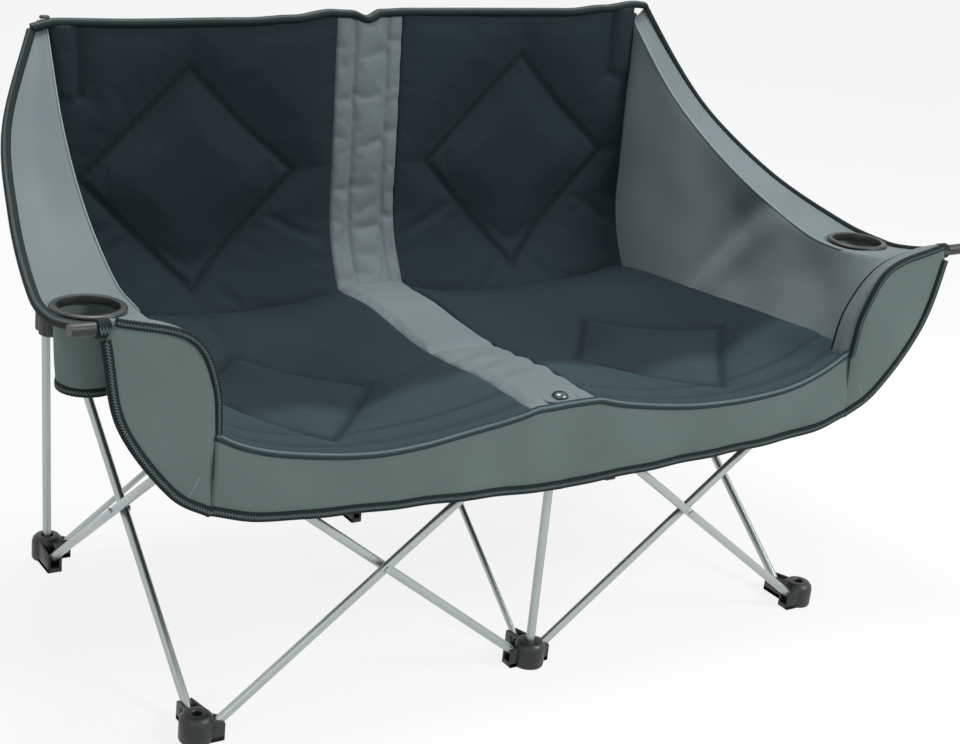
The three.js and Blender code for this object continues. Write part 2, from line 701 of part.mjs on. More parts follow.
for (const [hand, way, panel] of [['left', -1, leftPanel], ['right', 1, rightPanel]]) {
  addPiece(`${hand}_arm_panel`, panel, greyCloth);
  const cupX = way * (footSpacing + cupOut);
  const ringOut = cupRadius + cupFlange;
  const ringIn = cupRadius - 3;
  const seatZ = seatHigh + seatGap;
  addPiece(`${hand}_cup_ring`, turned([[ringIn, seatLow], [cupRadius - 0.6, seatLow],
    [cupRadius - 0.6, seatZ], [ringOut, seatZ], [ringOut, seatZ + 2], [ringOut - 2, seatZ + 4],
    [ringIn, seatZ + 4], [ringIn, seatLow]], 24).translate(cupX, cupBack, 0), plastic);

  const pocketTop = seatLow - seatGap;
  const pocketLow = pocketTop - cupDepth;
  addPiece(`${hand}_cup_pocket`, turned([[0, pocketLow], [cupRadius - 8, pocketLow],
    [cupRadius - 3, pocketLow + 8], [cupRadius + 2, pocketTop], [cupRadius, pocketTop],
    [cupRadius - 5, pocketLow + 9], [cupRadius - 9, pocketLow + 2], [0, pocketLow + 2]], 20)
    .translate(cupX, cupBack, 0), greyCloth);

  // The gusset carries the skirt's band up the front of the arm tube.
  const tip = armPoint(1, armTip);
  const gussetLine = (lowZ, shares) => new THREE.CatmullRomCurve3(shares.map(([across, up]) =>
    new THREE.Vector3(lerp(skirtHalf, tip.x, across), 0, lerp(lowZ, tip.z, up))));
  const inner = gussetLine(seatLevelZ, [[0.002, 0.03], [0.08, 0.515], [0.273, 0.848], [0.737, 1.05]]);
  const outer = gussetLine(skirtBottomZ, [[0.002, 0.045], [0.313, 0.252], [0.667, 0.581], [0.798, 0.955]]);
  const gussetPoint = (u, v, depth) => {
    const point = inner.getPoint(u).lerp(outer.getPoint(u), v);
    const y = lerp(seatFrontY - seamGap, armTip[1] - strongRadius - 2 * seatGap, u);
    return [way * point.x, y - depth - 4 * hump(v) * hump(u), point.z];
  };
  addPiece(`${hand}_arm_gusset`, sheet(10, 5, (u, v) => gussetPoint(u, v, clothThickness),
    (u, v) => gussetPoint(u, v, 0)), skirtCloth);
}

export default group;
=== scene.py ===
import bmesh
import bpy
import math
from mathutils import Matrix, Vector, noise


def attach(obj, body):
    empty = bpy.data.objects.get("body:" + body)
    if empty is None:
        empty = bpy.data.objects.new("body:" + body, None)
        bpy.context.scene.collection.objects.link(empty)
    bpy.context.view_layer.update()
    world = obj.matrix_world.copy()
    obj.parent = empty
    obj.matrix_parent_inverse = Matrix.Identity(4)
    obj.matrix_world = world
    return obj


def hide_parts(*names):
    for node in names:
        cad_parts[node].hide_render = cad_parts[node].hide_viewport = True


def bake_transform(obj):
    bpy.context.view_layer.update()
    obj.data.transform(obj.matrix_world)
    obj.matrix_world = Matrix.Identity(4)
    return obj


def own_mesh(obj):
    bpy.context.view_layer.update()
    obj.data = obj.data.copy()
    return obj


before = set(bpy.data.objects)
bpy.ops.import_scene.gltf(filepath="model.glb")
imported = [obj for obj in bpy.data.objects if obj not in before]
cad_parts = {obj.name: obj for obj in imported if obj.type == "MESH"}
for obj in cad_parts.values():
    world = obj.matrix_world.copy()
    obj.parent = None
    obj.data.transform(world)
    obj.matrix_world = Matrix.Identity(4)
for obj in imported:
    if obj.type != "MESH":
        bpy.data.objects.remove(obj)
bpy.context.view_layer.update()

scene = bpy.context.scene


# small helpers
def clearSelection():
    if bpy.context.object and bpy.context.object.mode != "OBJECT":
        bpy.ops.object.mode_set(mode="OBJECT")
    bpy.ops.object.select_all(action="DESELECT")


def takeUp(piece):
    clearSelection()
    piece.select_set(True)
    bpy.context.view_layer.objects.active = piece


def applyAll(piece):
    takeUp(piece)
    for modifier in list(piece.modifiers):
        bpy.ops.object.modifier_apply(modifier=modifier.name)


def settle(piece, angle=40):
    takeUp(piece)
    bpy.ops.object.transform_apply(location=True, rotation=True, scale=True)
    bpy.ops.object.mode_set(mode="EDIT")
    bpy.ops.mesh.select_all(action="SELECT")
    bpy.ops.mesh.normals_make_consistent(inside=False)
    bpy.ops.object.mode_set(mode="OBJECT")
    bpy.ops.object.shade_smooth_by_angle(angle=math.radians(angle))


def smoothAll(piece):
    takeUp(piece)
    bpy.ops.object.shade_smooth()


def subdivide(piece, levels=1):
    modifier = piece.modifiers.new("smooth", "SUBSURF")
    modifier.levels = levels
    modifier.render_levels = levels
    applyAll(piece)


def thicken(piece, thickness):
    wall = piece.modifiers.new("thickness", "SOLIDIFY")
    wall.thickness = thickness
    wall.offset = 0
    applyAll(piece)


def roundEdges(piece, width, segments):
    bevel = piece.modifiers.new("edges", "BEVEL")
    bevel.width = width
    bevel.segments = segments
    applyAll(piece)


def dress(piece, material):
    piece.data.materials.append(material)


def joinUp(name, pieces):
    clearSelection()
    for piece in pieces:
        piece.select_set(True)
    bpy.context.view_layer.objects.active = pieces[0]
    bpy.ops.object.join()
    pieces[0].name = name
    return pieces[0]


def lerp(a, b, t):
    return a + (b - a) * t


def clamp(t):
    return max(0.0, min(1.0, t))


def hump(t):
    return math.sin(math.pi * clamp(t))


def mirrored(way, point):
    return Vector((way * point.x, point.y, point.z))


def curvePoint(points, u):
    # a smooth line through the points, the same kind as in the solids
    spans = len(points) - 1
    k = min(int(u * spans), spans - 1)
    t = u * spans - k
    b, c = Vector(points[k]), Vector(points[k + 1])
    a = Vector(points[k - 1]) if k > 0 else b * 2 - c
    d = Vector(points[k + 2]) if k + 2 <= spans else c * 2 - b
    m0, m1 = (c - a) / 2, (d - b) / 2
    t2, t3 = t * t, t * t * t
    return b * (2 * t3 - 3 * t2 + 1) + m0 * (t3 - 2 * t2 + t) + c * (3 * t2 - 2 * t3) + m1 * (t3 - t2)


def lineAt(points, x):
    for (x0, z0), (x1, z1) in zip(points, points[1:]):
        if x <= x1 or x1 == points[-1][0]:
            t = clamp((x - x0) / (x1 - x0))
            return lerp(z0, z1, t * t * (3 - 2 * t))


# sizes shared by many pieces, in metres, as in the solids
chair = {
    "spacing": 0.564, "depth": 0.614, "footPivot": 0.021, "hubPivot": 0.420,
    "acrossReach": 0.022, "depthReach": 0.047, "strong": 0.007, "slim": 0.005,
    "overhang": 0.009, "gap": 0.0006, "postLow": 0.0103, "postTop": 0.890, "lean": 0.062657,
    "padInner": 0.0625, "seatFront": -0.022, "seatRear": 0.606, "seatLevel": 0.4383,
    "cupX": 0.690, "cupY": 0.125, "armrest": 0.606, "frontPost": (0.0093, 0.4237),
}
hands = (("left", -1), ("right", 1))


def postY(z):
    return chair["depth"] + (z - chair["footPivot"]) * chair["lean"]


# camera, fitted to the feet, tubes and post tops in the photograph
cameraPlace = {
    "at": (-1.4886, -1.9565, 1.3493), "right": (0.84321, -0.52864, 0.09770),
    "up": (0.10134, 0.33478, 0.93683), "lens": 65.86, "shift": (0.00973, 0.0001),
}
clearSelection()
bpy.ops.object.camera_add()
camera = bpy.context.object
right, up = Vector(cameraPlace["right"]), Vector(cameraPlace["up"])
back = right.cross(up)
turn = Matrix((right, up, back)).transposed().to_4x4()
camera.matrix_world = Matrix.Translation(cameraPlace["at"]) @ turn
camera.data.sensor_width = 36
camera.data.lens = cameraPlace["lens"]
camera.data.shift_x, camera.data.shift_y = cameraPlace["shift"]
camera.data.clip_end = 60
scene.camera = camera
scene.view_settings.view_transform = "Standard"
print("camera placed")


# floor, world and lamps
studio = {
    "floor": 60.0, "whiteShare": 0.86,
    "lamps": [
        ("keyLamp", (2.3, -2.5, 3.2), (0.0, 0.2, 0.4), 1.5, 120),
        ("fillLamp", (-2.9, -2.0, 1.9), (0.0, 0.2, 0.4), 2.0, 11),
        ("topLamp", (-0.2, 0.7, 3.4), (0.0, 0.3, 0.4), 1.4, 80),
    ],
    "world": 0.34,
}


def node(tree, kind, place=(0, 0), **values):
    made = tree.nodes.new(kind)
    made.location = place
    for key, value in values.items():
        setattr(made, key, value)
    return made


def link(tree, a, b):
    tree.links.new(a, b)


def seenPlainly(tree, place):
    # 1 for what the camera or a shine on metal sees, so that the ground shows white there
    path = node(tree, "ShaderNodeLightPath", (place[0] - 200, place[1]))
    seen = node(tree, "ShaderNodeMath", place, operation="MAXIMUM")
    link(tree, path.outputs["Is Camera Ray"], seen.inputs[0])
    link(tree, path.outputs["Is Glossy Ray"], seen.inputs[1])
    return seen.outputs[0]


world = bpy.data.worlds.new("studioWorld")
scene.world = world
world.use_nodes = True
tree = world.node_tree
tree.nodes.clear()
out = node(tree, "ShaderNodeOutputWorld", (400, 0))
mix = node(tree, "ShaderNodeMixShader", (200, 0))
light = node(tree, "ShaderNodeBackground", (0, 0))
light.inputs["Color"].default_value = (0.93, 0.97, 1.0, 1)
light.inputs["Strength"].default_value = studio["world"]
white = node(tree, "ShaderNodeBackground", (0, -150))
white.inputs["Color"].default_value = (1, 1, 1, 1)
link(tree, seenPlainly(tree, (-200, 200)), mix.inputs[0])
link(tree, light.outputs[0], mix.inputs[1])
link(tree, white.outputs[0], mix.inputs[2])
link(tree, mix.outputs[0], out.inputs[0])

clearSelection()
bpy.ops.mesh.primitive_plane_add(size=studio["floor"])
floor = bpy.context.object
floor.name = "floor"
floorPaint = bpy.data.materials.new("floorPaint")
floorPaint.use_nodes = True
tree = floorPaint.node_tree
tree.nodes.clear()
out = node(tree, "ShaderNodeOutputMaterial", (600, 0))
mix = node(tree, "ShaderNodeMixShader", (400, 0))
paint = node(tree, "ShaderNodeBsdfDiffuse", (100, 0))
paint.inputs["Color"].default_value = (0.86, 0.87, 0.87, 1)
glow = node(tree, "ShaderNodeEmission", (100, -150))
share = node(tree, "ShaderNodeMath", (0, 200), operation="MULTIPLY")
share.inputs[1].default_value = studio["whiteShare"]
link(tree, seenPlainly(tree, (-150, 200)), share.inputs[0])
link(tree, share.outputs[0], mix.inputs[0])
link(tree, paint.outputs[0], mix.inputs[1])
link(tree, glow.outputs[0], mix.inputs[2])
link(tree, mix.outputs[0], out.inputs[0])
dress(floor, floorPaint)

for name, at, aim, size, power in studio["lamps"]:
    clearSelection()
    bpy.ops.object.light_add(type="AREA", location=at)
    lamp = bpy.context.object
    lamp.name = name
    lamp.data.shape = "DISK"
    lamp.data.size = size
    lamp.data.energy = power
    lamp.rotation_euler = (Vector(aim) - Vector(at)).to_track_quat("-Z", "Y").to_euler()
print("studio set")


# shared effects
def newGroup(name, inputs, outputs):
    group = bpy.data.node_groups.new(name, "ShaderNodeTree")
    for label, kind, value in inputs:
        socket = group.interface.new_socket(label, in_out="INPUT", socket_type=kind)
        if value is not None:
            socket.default_value = value
    for label, kind in outputs:
        group.interface.new_socket(label, in_out="OUTPUT", socket_type=kind)
    return group, node(group, "NodeGroupInput", (-900, 0)), node(group, "NodeGroupOutput", (700, 0))


def maths(tree, operation, a, b=None, place=(0, 0), limit=False):
    made = node(tree, "ShaderNodeMath", place, operation=operation, use_clamp=limit)
    for socket, value in zip(made.inputs, (a, b)):
        if value is None:
            continue
        if isinstance(value, (int, float)):
            socket.default_value = value
        else:
            link(tree, value, socket)
    return made.outputs[0]


# crossing threads: a height that rises and falls over and under
weave, into, out = newGroup("threadWeave", [
    ("Vector", "NodeSocketVector", None), ("Pitch", "NodeSocketFloat", 0.002)],
    [("Height", "NodeSocketFloat"), ("Gap", "NodeSocketFloat")])
parts = node(weave, "ShaderNodeSeparateXYZ", (-700, 0))
link(weave, into.outputs["Vector"], parts.inputs[0])
waves = []
for axis in range(2):
    turns = maths(weave, "DIVIDE", parts.outputs[axis], into.outputs["Pitch"], (-500, -200 * axis))
    angle = maths(weave, "MULTIPLY", turns, 2 * math.pi, (-350, -200 * axis))
    waves.append(maths(weave, "SINE", angle, None, (-200, -200 * axis)))
product = maths(weave, "MULTIPLY", waves[0], waves[1], (0, 0))
link(weave, maths(weave, "MULTIPLY_ADD", product, 0.5, (200, 0)), out.inputs["Height"])
link(weave, maths(weave, "GREATER_THAN", product, 0.45, (200, -200)), out.inputs["Gap"])

# uneven tone, from broad fading down to fine lint
tone, into, out = newGroup("clothTone", [
    ("Vector", "NodeSocketVector", None), ("Broad", "NodeSocketFloat", 4.0),
    ("Fine", "NodeSocketFloat", 220.0)], [("Fade", "NodeSocketFloat"), ("Lint", "NodeSocketFloat")])
broad = node(tone, "ShaderNodeTexNoise", (-300, 100))
broad.inputs["Detail"].default_value = 3
fine = node(tone, "ShaderNodeTexNoise", (-300, -200))
fine.inputs["Detail"].default_value = 2
for noiseNode, scale in ((broad, "Broad"), (fine, "Fine")):
    link(tone, into.outputs["Vector"], noiseNode.inputs["Vector"])
    link(tone, into.outputs[scale], noiseNode.inputs["Scale"])
link(tone, broad.outputs["Fac"], out.inputs["Fade"])
link(tone, fine.outputs["Fac"], out.inputs["Lint"])

# a zigzag line of thread along a tape; U runs along in metres, V across from -1 to 1
zigzag, into, out = newGroup("zigzagThread", [
    ("Vector", "NodeSocketVector", None), ("Pitch", "NodeSocketFloat", 0.007),
    ("Swing", "NodeSocketFloat", 0.5)], [("Thread", "NodeSocketFloat")])
parts = node(zigzag, "ShaderNodeSeparateXYZ", (-700, 0))
link(zigzag, into.outputs["Vector"], parts.inputs[0])
turns = maths(zigzag, "DIVIDE", parts.outputs[0], into.outputs["Pitch"], (-500, 0))
swing = maths(zigzag, "PINGPONG", turns, 0.5, (-350, 0))
centred = maths(zigzag, "SUBTRACT", swing, 0.25, (-200, 0))
line = maths(zigzag, "MULTIPLY", centred, 4.0, (-50, 0))
line = maths(zigzag, "MULTIPLY", line, into.outputs["Swing"], (100, 0))
away = maths(zigzag, "ABSOLUTE", maths(zigzag, "SUBTRACT", parts.outputs[1], line, (250, 0)), None, (400, 0))
link(zigzag, maths(zigzag, "LESS_THAN", away, 0.17, (550, 0)), out.inputs["Thread"])


def newMaterial(name, rough, metal=0.0, specular=0.5, colour=(0.8, 0.8, 0.8)):
    material = bpy.data.materials.new(name)
    material.use_nodes = True
    tree = material.node_tree
    shader = tree.nodes["Principled BSDF"]
    shader.inputs["Base Color"].default_value = (*colour, 1)
    shader.inputs["Roughness"].default_value = rough
    shader.inputs["Metallic"].default_value = metal
    shader.inputs["Specular IOR Level"].default_value = specular
    return material, tree, shader


def useGroup(tree, group, vector, place, **values):
    made = node(tree, "ShaderNodeGroup", place)
    made.node_tree = group
    link(tree, vector, made.inputs["Vector"])
    for key, value in values.items():
        made.inputs[key].default_value = value
    return made


def mixColour(tree, factor, a, b, place, blend="MIX"):
    made = node(tree, "ShaderNodeMix", place, data_type="RGBA", blend_type=blend)
    for socket, value in zip((made.inputs[0], made.inputs[6], made.inputs[7]), (factor, a, b)):
        if isinstance(value, (int, float)):
            socket.default_value = value
        elif isinstance(value, tuple):
            socket.default_value = (*value, 1)
        else:
            link(tree, value, socket)
    return made.outputs[2]


def addBump(tree, shader, height, strength, distance):
    bump = node(tree, "ShaderNodeBump", (-100, -400))
    bump.inputs["Strength"].default_value = strength
    bump.inputs["Distance"].default_value = distance
    link(tree, height, bump.inputs["Height"])
    link(tree, bump.outputs[0], shader.inputs["Normal"])


def clothMaterial(name, dark, light, pitch, specular, rough, depth=0.0006):
    material, tree, shader = newMaterial(name, rough, 0.0, specular)
    spot = node(tree, "ShaderNodeTexCoord", (-1300, 0))
    woven = useGroup(tree, weave, spot.outputs["UV"], (-1000, -300), Pitch=pitch)
    tones = useGroup(tree, tone, spot.outputs["Object"], (-1000, 100), Broad=5.0, Fine=260.0)
    base = mixColour(tree, tones.outputs["Fade"], dark, light, (-700, 150))
    flecks = maths(tree, "MULTIPLY", tones.outputs["Lint"], 0.22, (-700, -50))
    base = mixColour(tree, flecks, base, light, (-500, 100))
    gaps = maths(tree, "MULTIPLY", woven.outputs["Gap"], 0.35, (-700, -250))
    base = mixColour(tree, gaps, base, tuple(c * 0.55 for c in dark), (-300, 80))
    link(tree, base, shader.inputs["Base Color"])
    addBump(tree, shader, woven.outputs["Height"], 0.35, depth)
    return material, tree, shader, base


# dark padded cloth; the seat's front zone is an open mesh that looks paler
padCloth, tree, shader, base = clothMaterial("padCloth", (0.0125, 0.020, 0.0235), (0.021, 0.033, 0.038),
    0.0022, 0.10, 0.78)
zone = node(tree, "ShaderNodeAttribute", (-1300, -500), attribute_name="frontZone")
fold = node(tree, "ShaderNodeAttribute", (-1300, -900), attribute_name="crease")
spot = node(tree, "ShaderNodeTexCoord", (-1300, -700))
dots = useGroup(tree, weave, spot.outputs["UV"], (-1000, -650), Pitch=0.0052)
dotted = maths(tree, "MULTIPLY_ADD", dots.outputs["Height"], 0.9, (-800, -650))
paleness = maths(tree, "MULTIPLY", maths(tree, "ADD", dotted, 0.55, (-650, -650)), zone.outputs["Fac"],
    (-500, -650), True)
base = mixColour(tree, paleness, base, (0.058, 0.098, 0.102), (-250, 60))
# painted shade: the crease attribute mixes the cloth towards near-black along the quilting seams
base = mixColour(tree, fold.outputs["Fac"], base, (0.004, 0.007, 0.008), (-100, 60))
link(tree, base, shader.inputs["Base Color"])

greyCloth = clothMaterial("greyCloth", (0.105, 0.127, 0.132), (0.180, 0.214, 0.218), 0.0026, 0.16, 0.62)[0]
skirtCloth = clothMaterial("skirtCloth", (0.085, 0.115, 0.106), (0.150, 0.197, 0.184), 0.0026, 0.16, 0.66)[0]


def tapeMaterial(name, ground, thread, pitch, swing):
    material, tree, shader = newMaterial(name, 0.75, 0.0, 0.15)
    spot = node(tree, "ShaderNodeTexCoord", (-1100, 0))
    sewn = useGroup(tree, zigzag, spot.outputs["UV"], (-800, 0), Pitch=pitch, Swing=swing)
    tones = useGroup(tree, tone, spot.outputs["Object"], (-800, -250), Broad=30.0, Fine=700.0)
    base = mixColour(tree, tones.outputs["Lint"], ground, tuple(c * 2.2 for c in ground), (-500, -100))
    base = mixColour(tree, sewn.outputs["Thread"], base, thread, (-300, 0))
    link(tree, base, shader.inputs["Base Color"])
    addBump(tree, shader, sewn.outputs["Thread"], 0.6, 0.0006)
    return material


seamThread = newMaterial("seamThread", 0.7, 0.0, 0.15, (0.20, 0.25, 0.245))[0]
blackTape = tapeMaterial("blackTape", (0.006, 0.010, 0.010), (0.11, 0.145, 0.14), 0.0044, 0.30)
rimTape = tapeMaterial("rimTape", (0.014, 0.024, 0.026), (0.17, 0.23, 0.23), 0.0044, 0.30)


def wornMaterial(name, metal, dark, light, broad, fine, smooth, marks):
    # one colour that fades into another, and a roughness that varies with the given marks
    material, tree, shader = newMaterial(name, smooth, metal)
    spot = node(tree, "ShaderNodeTexCoord", (-1100, 0))
    tones = useGroup(tree, tone, spot.outputs["Object"], (-800, 0), Broad=broad, Fine=fine)
    base = mixColour(tree, tones.outputs["Fade"], dark, light, (-500, 0))
    link(tree, base, shader.inputs["Base Color"])
    rubbed = maths(tree, "MULTIPLY", tones.outputs[marks[0]], marks[1], (-500, -200))
    link(tree, maths(tree, "ADD", rubbed, smooth, (-300, -200)), shader.inputs["Roughness"])
    return material, tree, shader, tones


# moulded plastic with a fine spark-eroded grain
blackPlastic, tree, shader, tones = wornMaterial("blackPlastic", 0.0, (0.006, 0.008, 0.008),
    (0.020, 0.024, 0.024), 18.0, 900.0, 0.28, ("Fade", 0.3))
addBump(tree, shader, tones.outputs["Lint"], 0.12, 0.0004)

# silver grey tube with faint rub marks
silverTube = wornMaterial("silverTube", 0.85, (0.34, 0.38, 0.38), (0.48, 0.52, 0.52), 9.0, 420.0, 0.24,
    ("Lint", 0.16))[0]
print("materials ready")


# frame: round tubes in place of the faceted ones
places = {
    "front_left": (-1, 0), "front_middle": (0, 0), "front_right": (1, 0),
    "rear_left": (-1, 1), "rear_middle": (0, 1), "rear_right": (1, 1),
}
crosses = [
    ("front_left", "front_middle", "front_left", (0, 1, 0), "acrossReach", "strong"),
    ("front_right", "front_middle", "front_right", (0, 1, 0), "acrossReach", "strong"),
    ("left_side", "front_left", "rear_left", (1, 0, 0), "depthReach", "strong"),
    ("middle_side", "front_middle", "rear_middle", (1, 0, 0), "depthReach", "slim"),
    ("right_side", "front_right", "rear_right", (-1, 0, 0), "depthReach", "strong"),
    ("back_left", "rear_middle", "rear_left", (0, 1, 0), "acrossReach", "slim"),
    ("back_right", "rear_middle", "rear_right", (0, 1, 0), "acrossReach", "slim"),
]
tubeShape = {"sides": 28, "wall": 0.001, "bore": 0.02}


def placeOf(name):
    x, y = places[name]
    return Vector((x * chair["spacing"], y * chair["depth"], 0))


def roundTube(name, start, end, radius):
    clearSelection()
    span = Vector(end) - Vector(start)
    bpy.ops.mesh.primitive_cylinder_add(vertices=tubeShape["sides"], radius=radius, depth=span.length)
    tube = bpy.context.object
    tube.name = name
    bpy.ops.object.mode_set(mode="EDIT")
    bpy.ops.mesh.select_mode(type="FACE")
    for way in (1, -1):
        shape = bmesh.from_edit_mesh(tube.data)
        for face in shape.faces:
            face.select = face.normal.z * way > 0.9
        bmesh.update_edit_mesh(tube.data)
        bpy.ops.mesh.inset(thickness=tubeShape["wall"])
        bpy.ops.mesh.extrude_region_move(TRANSFORM_OT_translate={"value": (0, 0, -way * tubeShape["bore"])})
    bpy.ops.object.mode_set(mode="OBJECT")
    tube.matrix_world = Matrix.Translation((Vector(start) + Vector(end)) / 2) @ \
        span.to_track_quat("Z", "Y").to_matrix().to_4x4()
    settle(tube)
    dress(tube, silverTube)
    return tube


for name, a, b, side, reach, kind in crosses:
    radius = chair[kind]
    offset = radius + chair["gap"]
    run = (placeOf(b) - placeOf(a)).normalized()
    for letter, foot, way, shift in (("a", placeOf(a), 1, offset), ("b", placeOf(b), -1, -offset)):
        low = foot + run * way * chair[reach] + Vector(side) * shift
        high = low + run * way * ((placeOf(b) - placeOf(a)).length - 2 * chair[reach])
        low.z, high.z = chair["footPivot"], chair["hubPivot"]
        along = (high - low).normalized() * chair["overhang"]
        tube = roundTube(f"{name}_tube_{letter}_round", low - along, high + along, radius)
        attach(tube, f"{name}_tube_{letter}")
        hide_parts(f"{name}_cross_tube_{letter}")

low, high = chair["frontPost"]
posts = {"front_middle_post": ((0, 0, low), (0, 0, high), "front_middle_hub")}
for place in ("rear_left", "rear_middle", "rear_right"):
    x, low, high = placeOf(place).x, chair["postLow"], chair["postTop"]
    posts[f"{place}_post"] = ((x, postY(low), low), (x, postY(high), high), f"{place}_post")
for name, (low, high, body) in posts.items():
    post = roundTube(f"{name}_round", low, high, chair["strong"])
    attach(post, body)
    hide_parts(name)

armShape = {"from": 0.452, "cap": 0.0088, "capEnd": 0.003,
    "points": [(0, 0, -0.009), (0, 0, 0.020), (0.00824, -0.0058, 0.0828), (0.04532, -0.01595, 0.1472),
        (0.1133, -0.02465, 0.17848), (0.206, -0.029, 0.184)]}


def armTubePoint(k):
    # a place on the right arm tube, from 0 at the hub to 1 at the tip
    return curvePoint([(chair["spacing"] + x, y, armShape["from"] + z) for x, y, z in armShape["points"]], k)


def armLine(way, count):
    return [mirrored(way, armTubePoint(k / count)) for k in range(count + 1)]


def sweep(name, line, profile, facing, ends=True):
    # carries a closed profile (across, off the cloth) along a line; U is the way along, V goes across
    shape = bmesh.new()
    uvLayer = shape.loops.layers.uv.new("UVMap")
    rings, lengths, travel = [], [], 0.0
    widest = max(abs(p[0]) for p in profile)
    for k, point in enumerate(line):
        ahead = line[min(k + 1, len(line) - 1)] - line[max(k - 1, 0)]
        along = ahead.normalized()
        off = Vector(facing(point, k / (len(line) - 1)) if callable(facing) else facing)
        off = (off - along * off.dot(along)).normalized()
        across = along.cross(off)
        if k:
            travel += (point - line[k - 1]).length
        lengths.append(travel)
        rings.append([shape.verts.new(point + across * a + off * b) for a, b in profile])
    count = len(profile)
    for k in range(len(line) - 1):
        for i in range(count):
            j = (i + 1) % count
            face = shape.faces.new((rings[k][i], rings[k][j], rings[k + 1][j], rings[k + 1][i]))
            spots = ((lengths[k], i), (lengths[k], j), (lengths[k + 1], j), (lengths[k + 1], i))
            for corner, (u, p) in zip(face.loops, spots):
                corner[uvLayer].uv = (u, profile[p][0] / widest)
    if ends:
        shape.faces.new(rings[0])
        shape.faces.new(list(reversed(rings[-1])))
    bmesh.ops.recalc_face_normals(shape, faces=shape.faces)
    clearSelection()
    bpy.ops.mesh.primitive_plane_add()
    piece = bpy.context.object
    piece.name = name
    shape.to_mesh(piece.data)
    shape.free()
    bpy.ops.object.shade_smooth_by_angle(angle=math.radians(50))
    return piece


def roundProfile(radius, sides=20):
    return [(radius * math.cos(2 * math.pi * k / sides), radius * math.sin(2 * math.pi * k / sides))
        for k in range(sides)]


def tapeProfile(half, thick):
    return [(-half, -thick * 0.4), (-half * 0.8, -thick), (half * 0.8, -thick), (half, -thick * 0.4),
        (half, thick * 0.4), (half * 0.75, thick), (0, thick * 1.15), (-half * 0.75, thick),
        (-half, thick * 0.4)]


def tape(name, line, half, thick, facing, material):
    piece = sweep(name, line, tapeProfile(half, thick), facing)
    dress(piece, material)
    return piece


for hand, way in hands:
    tube = sweep(f"{hand}_arm_tube_round", armLine(way, 60), roundProfile(chair["strong"], 24), (0, -1, 0.01))
    dress(tube, silverTube)
    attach(tube, f"front_{hand}_hub")
    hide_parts(f"{hand}_arm_tube")
    tip = armLine(way, 60)[56:]
    tip.append(tip[-1] + (tip[-1] - tip[-2]).normalized() * armShape["capEnd"])
    cap = sweep(f"{hand}_arm_tip_cap_moulded", tip, roundProfile(armShape["cap"], 24), (0, -1, 0.01))
    dress(cap, blackPlastic)
    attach(cap, f"front_{hand}_hub")
    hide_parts(f"{hand}_arm_tip_cap")
print("tubes made")

# CAD pieces that keep their shape
for name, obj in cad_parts.items():
    if name.endswith("_rivet"):
        finish = silverTube
    elif name.endswith("_hub") or name.endswith("_cap"):
        finish = blackPlastic
    else:
        continue
    obj.data.materials.clear()
    dress(obj, finish)


# moulded feet: a rounded base, a socket for the post and two slotted lugs
footShape = {"radius": 0.025, "height": 0.042, "wall": 0.0045, "nose": 0.014, "bore": 0.0074,
    "lugTop": 0.038, "floor": 0.009, "rearRoom": 0.002, "lugEdge": 0.0015, "noseFrom": 0.012,
    "noseDrop": 0.011, "pin": 0.0042}


def turnedRing(name, profile, sides=48):
    # a ring drawn up step by step from a circle
    clearSelection()
    bpy.ops.mesh.primitive_circle_add(vertices=sides, radius=profile[0][0], location=(0, 0, profile[0][1]))
    piece = bpy.context.object
    piece.name = name
    bpy.ops.object.transform_apply(location=True)
    bpy.ops.object.mode_set(mode="EDIT")
    bpy.ops.mesh.select_mode(type="VERT")
    bpy.ops.mesh.select_all(action="SELECT")
    for (r0, z0), (r1, z1) in zip(profile, profile[1:]):
        bpy.ops.mesh.extrude_edges_move(TRANSFORM_OT_translate={"value": (0, 0, z1 - z0)})
        bpy.ops.transform.resize(value=(r1 / r0, r1 / r0, 1), center_override=(0, 0, z1))
    bpy.ops.mesh.select_all(action="SELECT")
    bpy.ops.mesh.remove_doubles(threshold=0.00001)
    bpy.ops.mesh.select_all(action="DESELECT")
    bpy.ops.mesh.select_non_manifold()
    bpy.ops.mesh.fill_holes(sides=0)
    bpy.ops.object.mode_set(mode="OBJECT")
    return piece


def block(name, low, high, edge):
    clearSelection()
    bpy.ops.mesh.primitive_cube_add(size=1)
    piece = bpy.context.object
    piece.name = name
    piece.scale = [b - a for a, b in zip(low, high)]
    piece.location = [(a + b) / 2 for a, b in zip(low, high)]
    bpy.ops.object.transform_apply(location=True, rotation=True, scale=True)
    roundEdges(piece, edge, 3)
    return piece


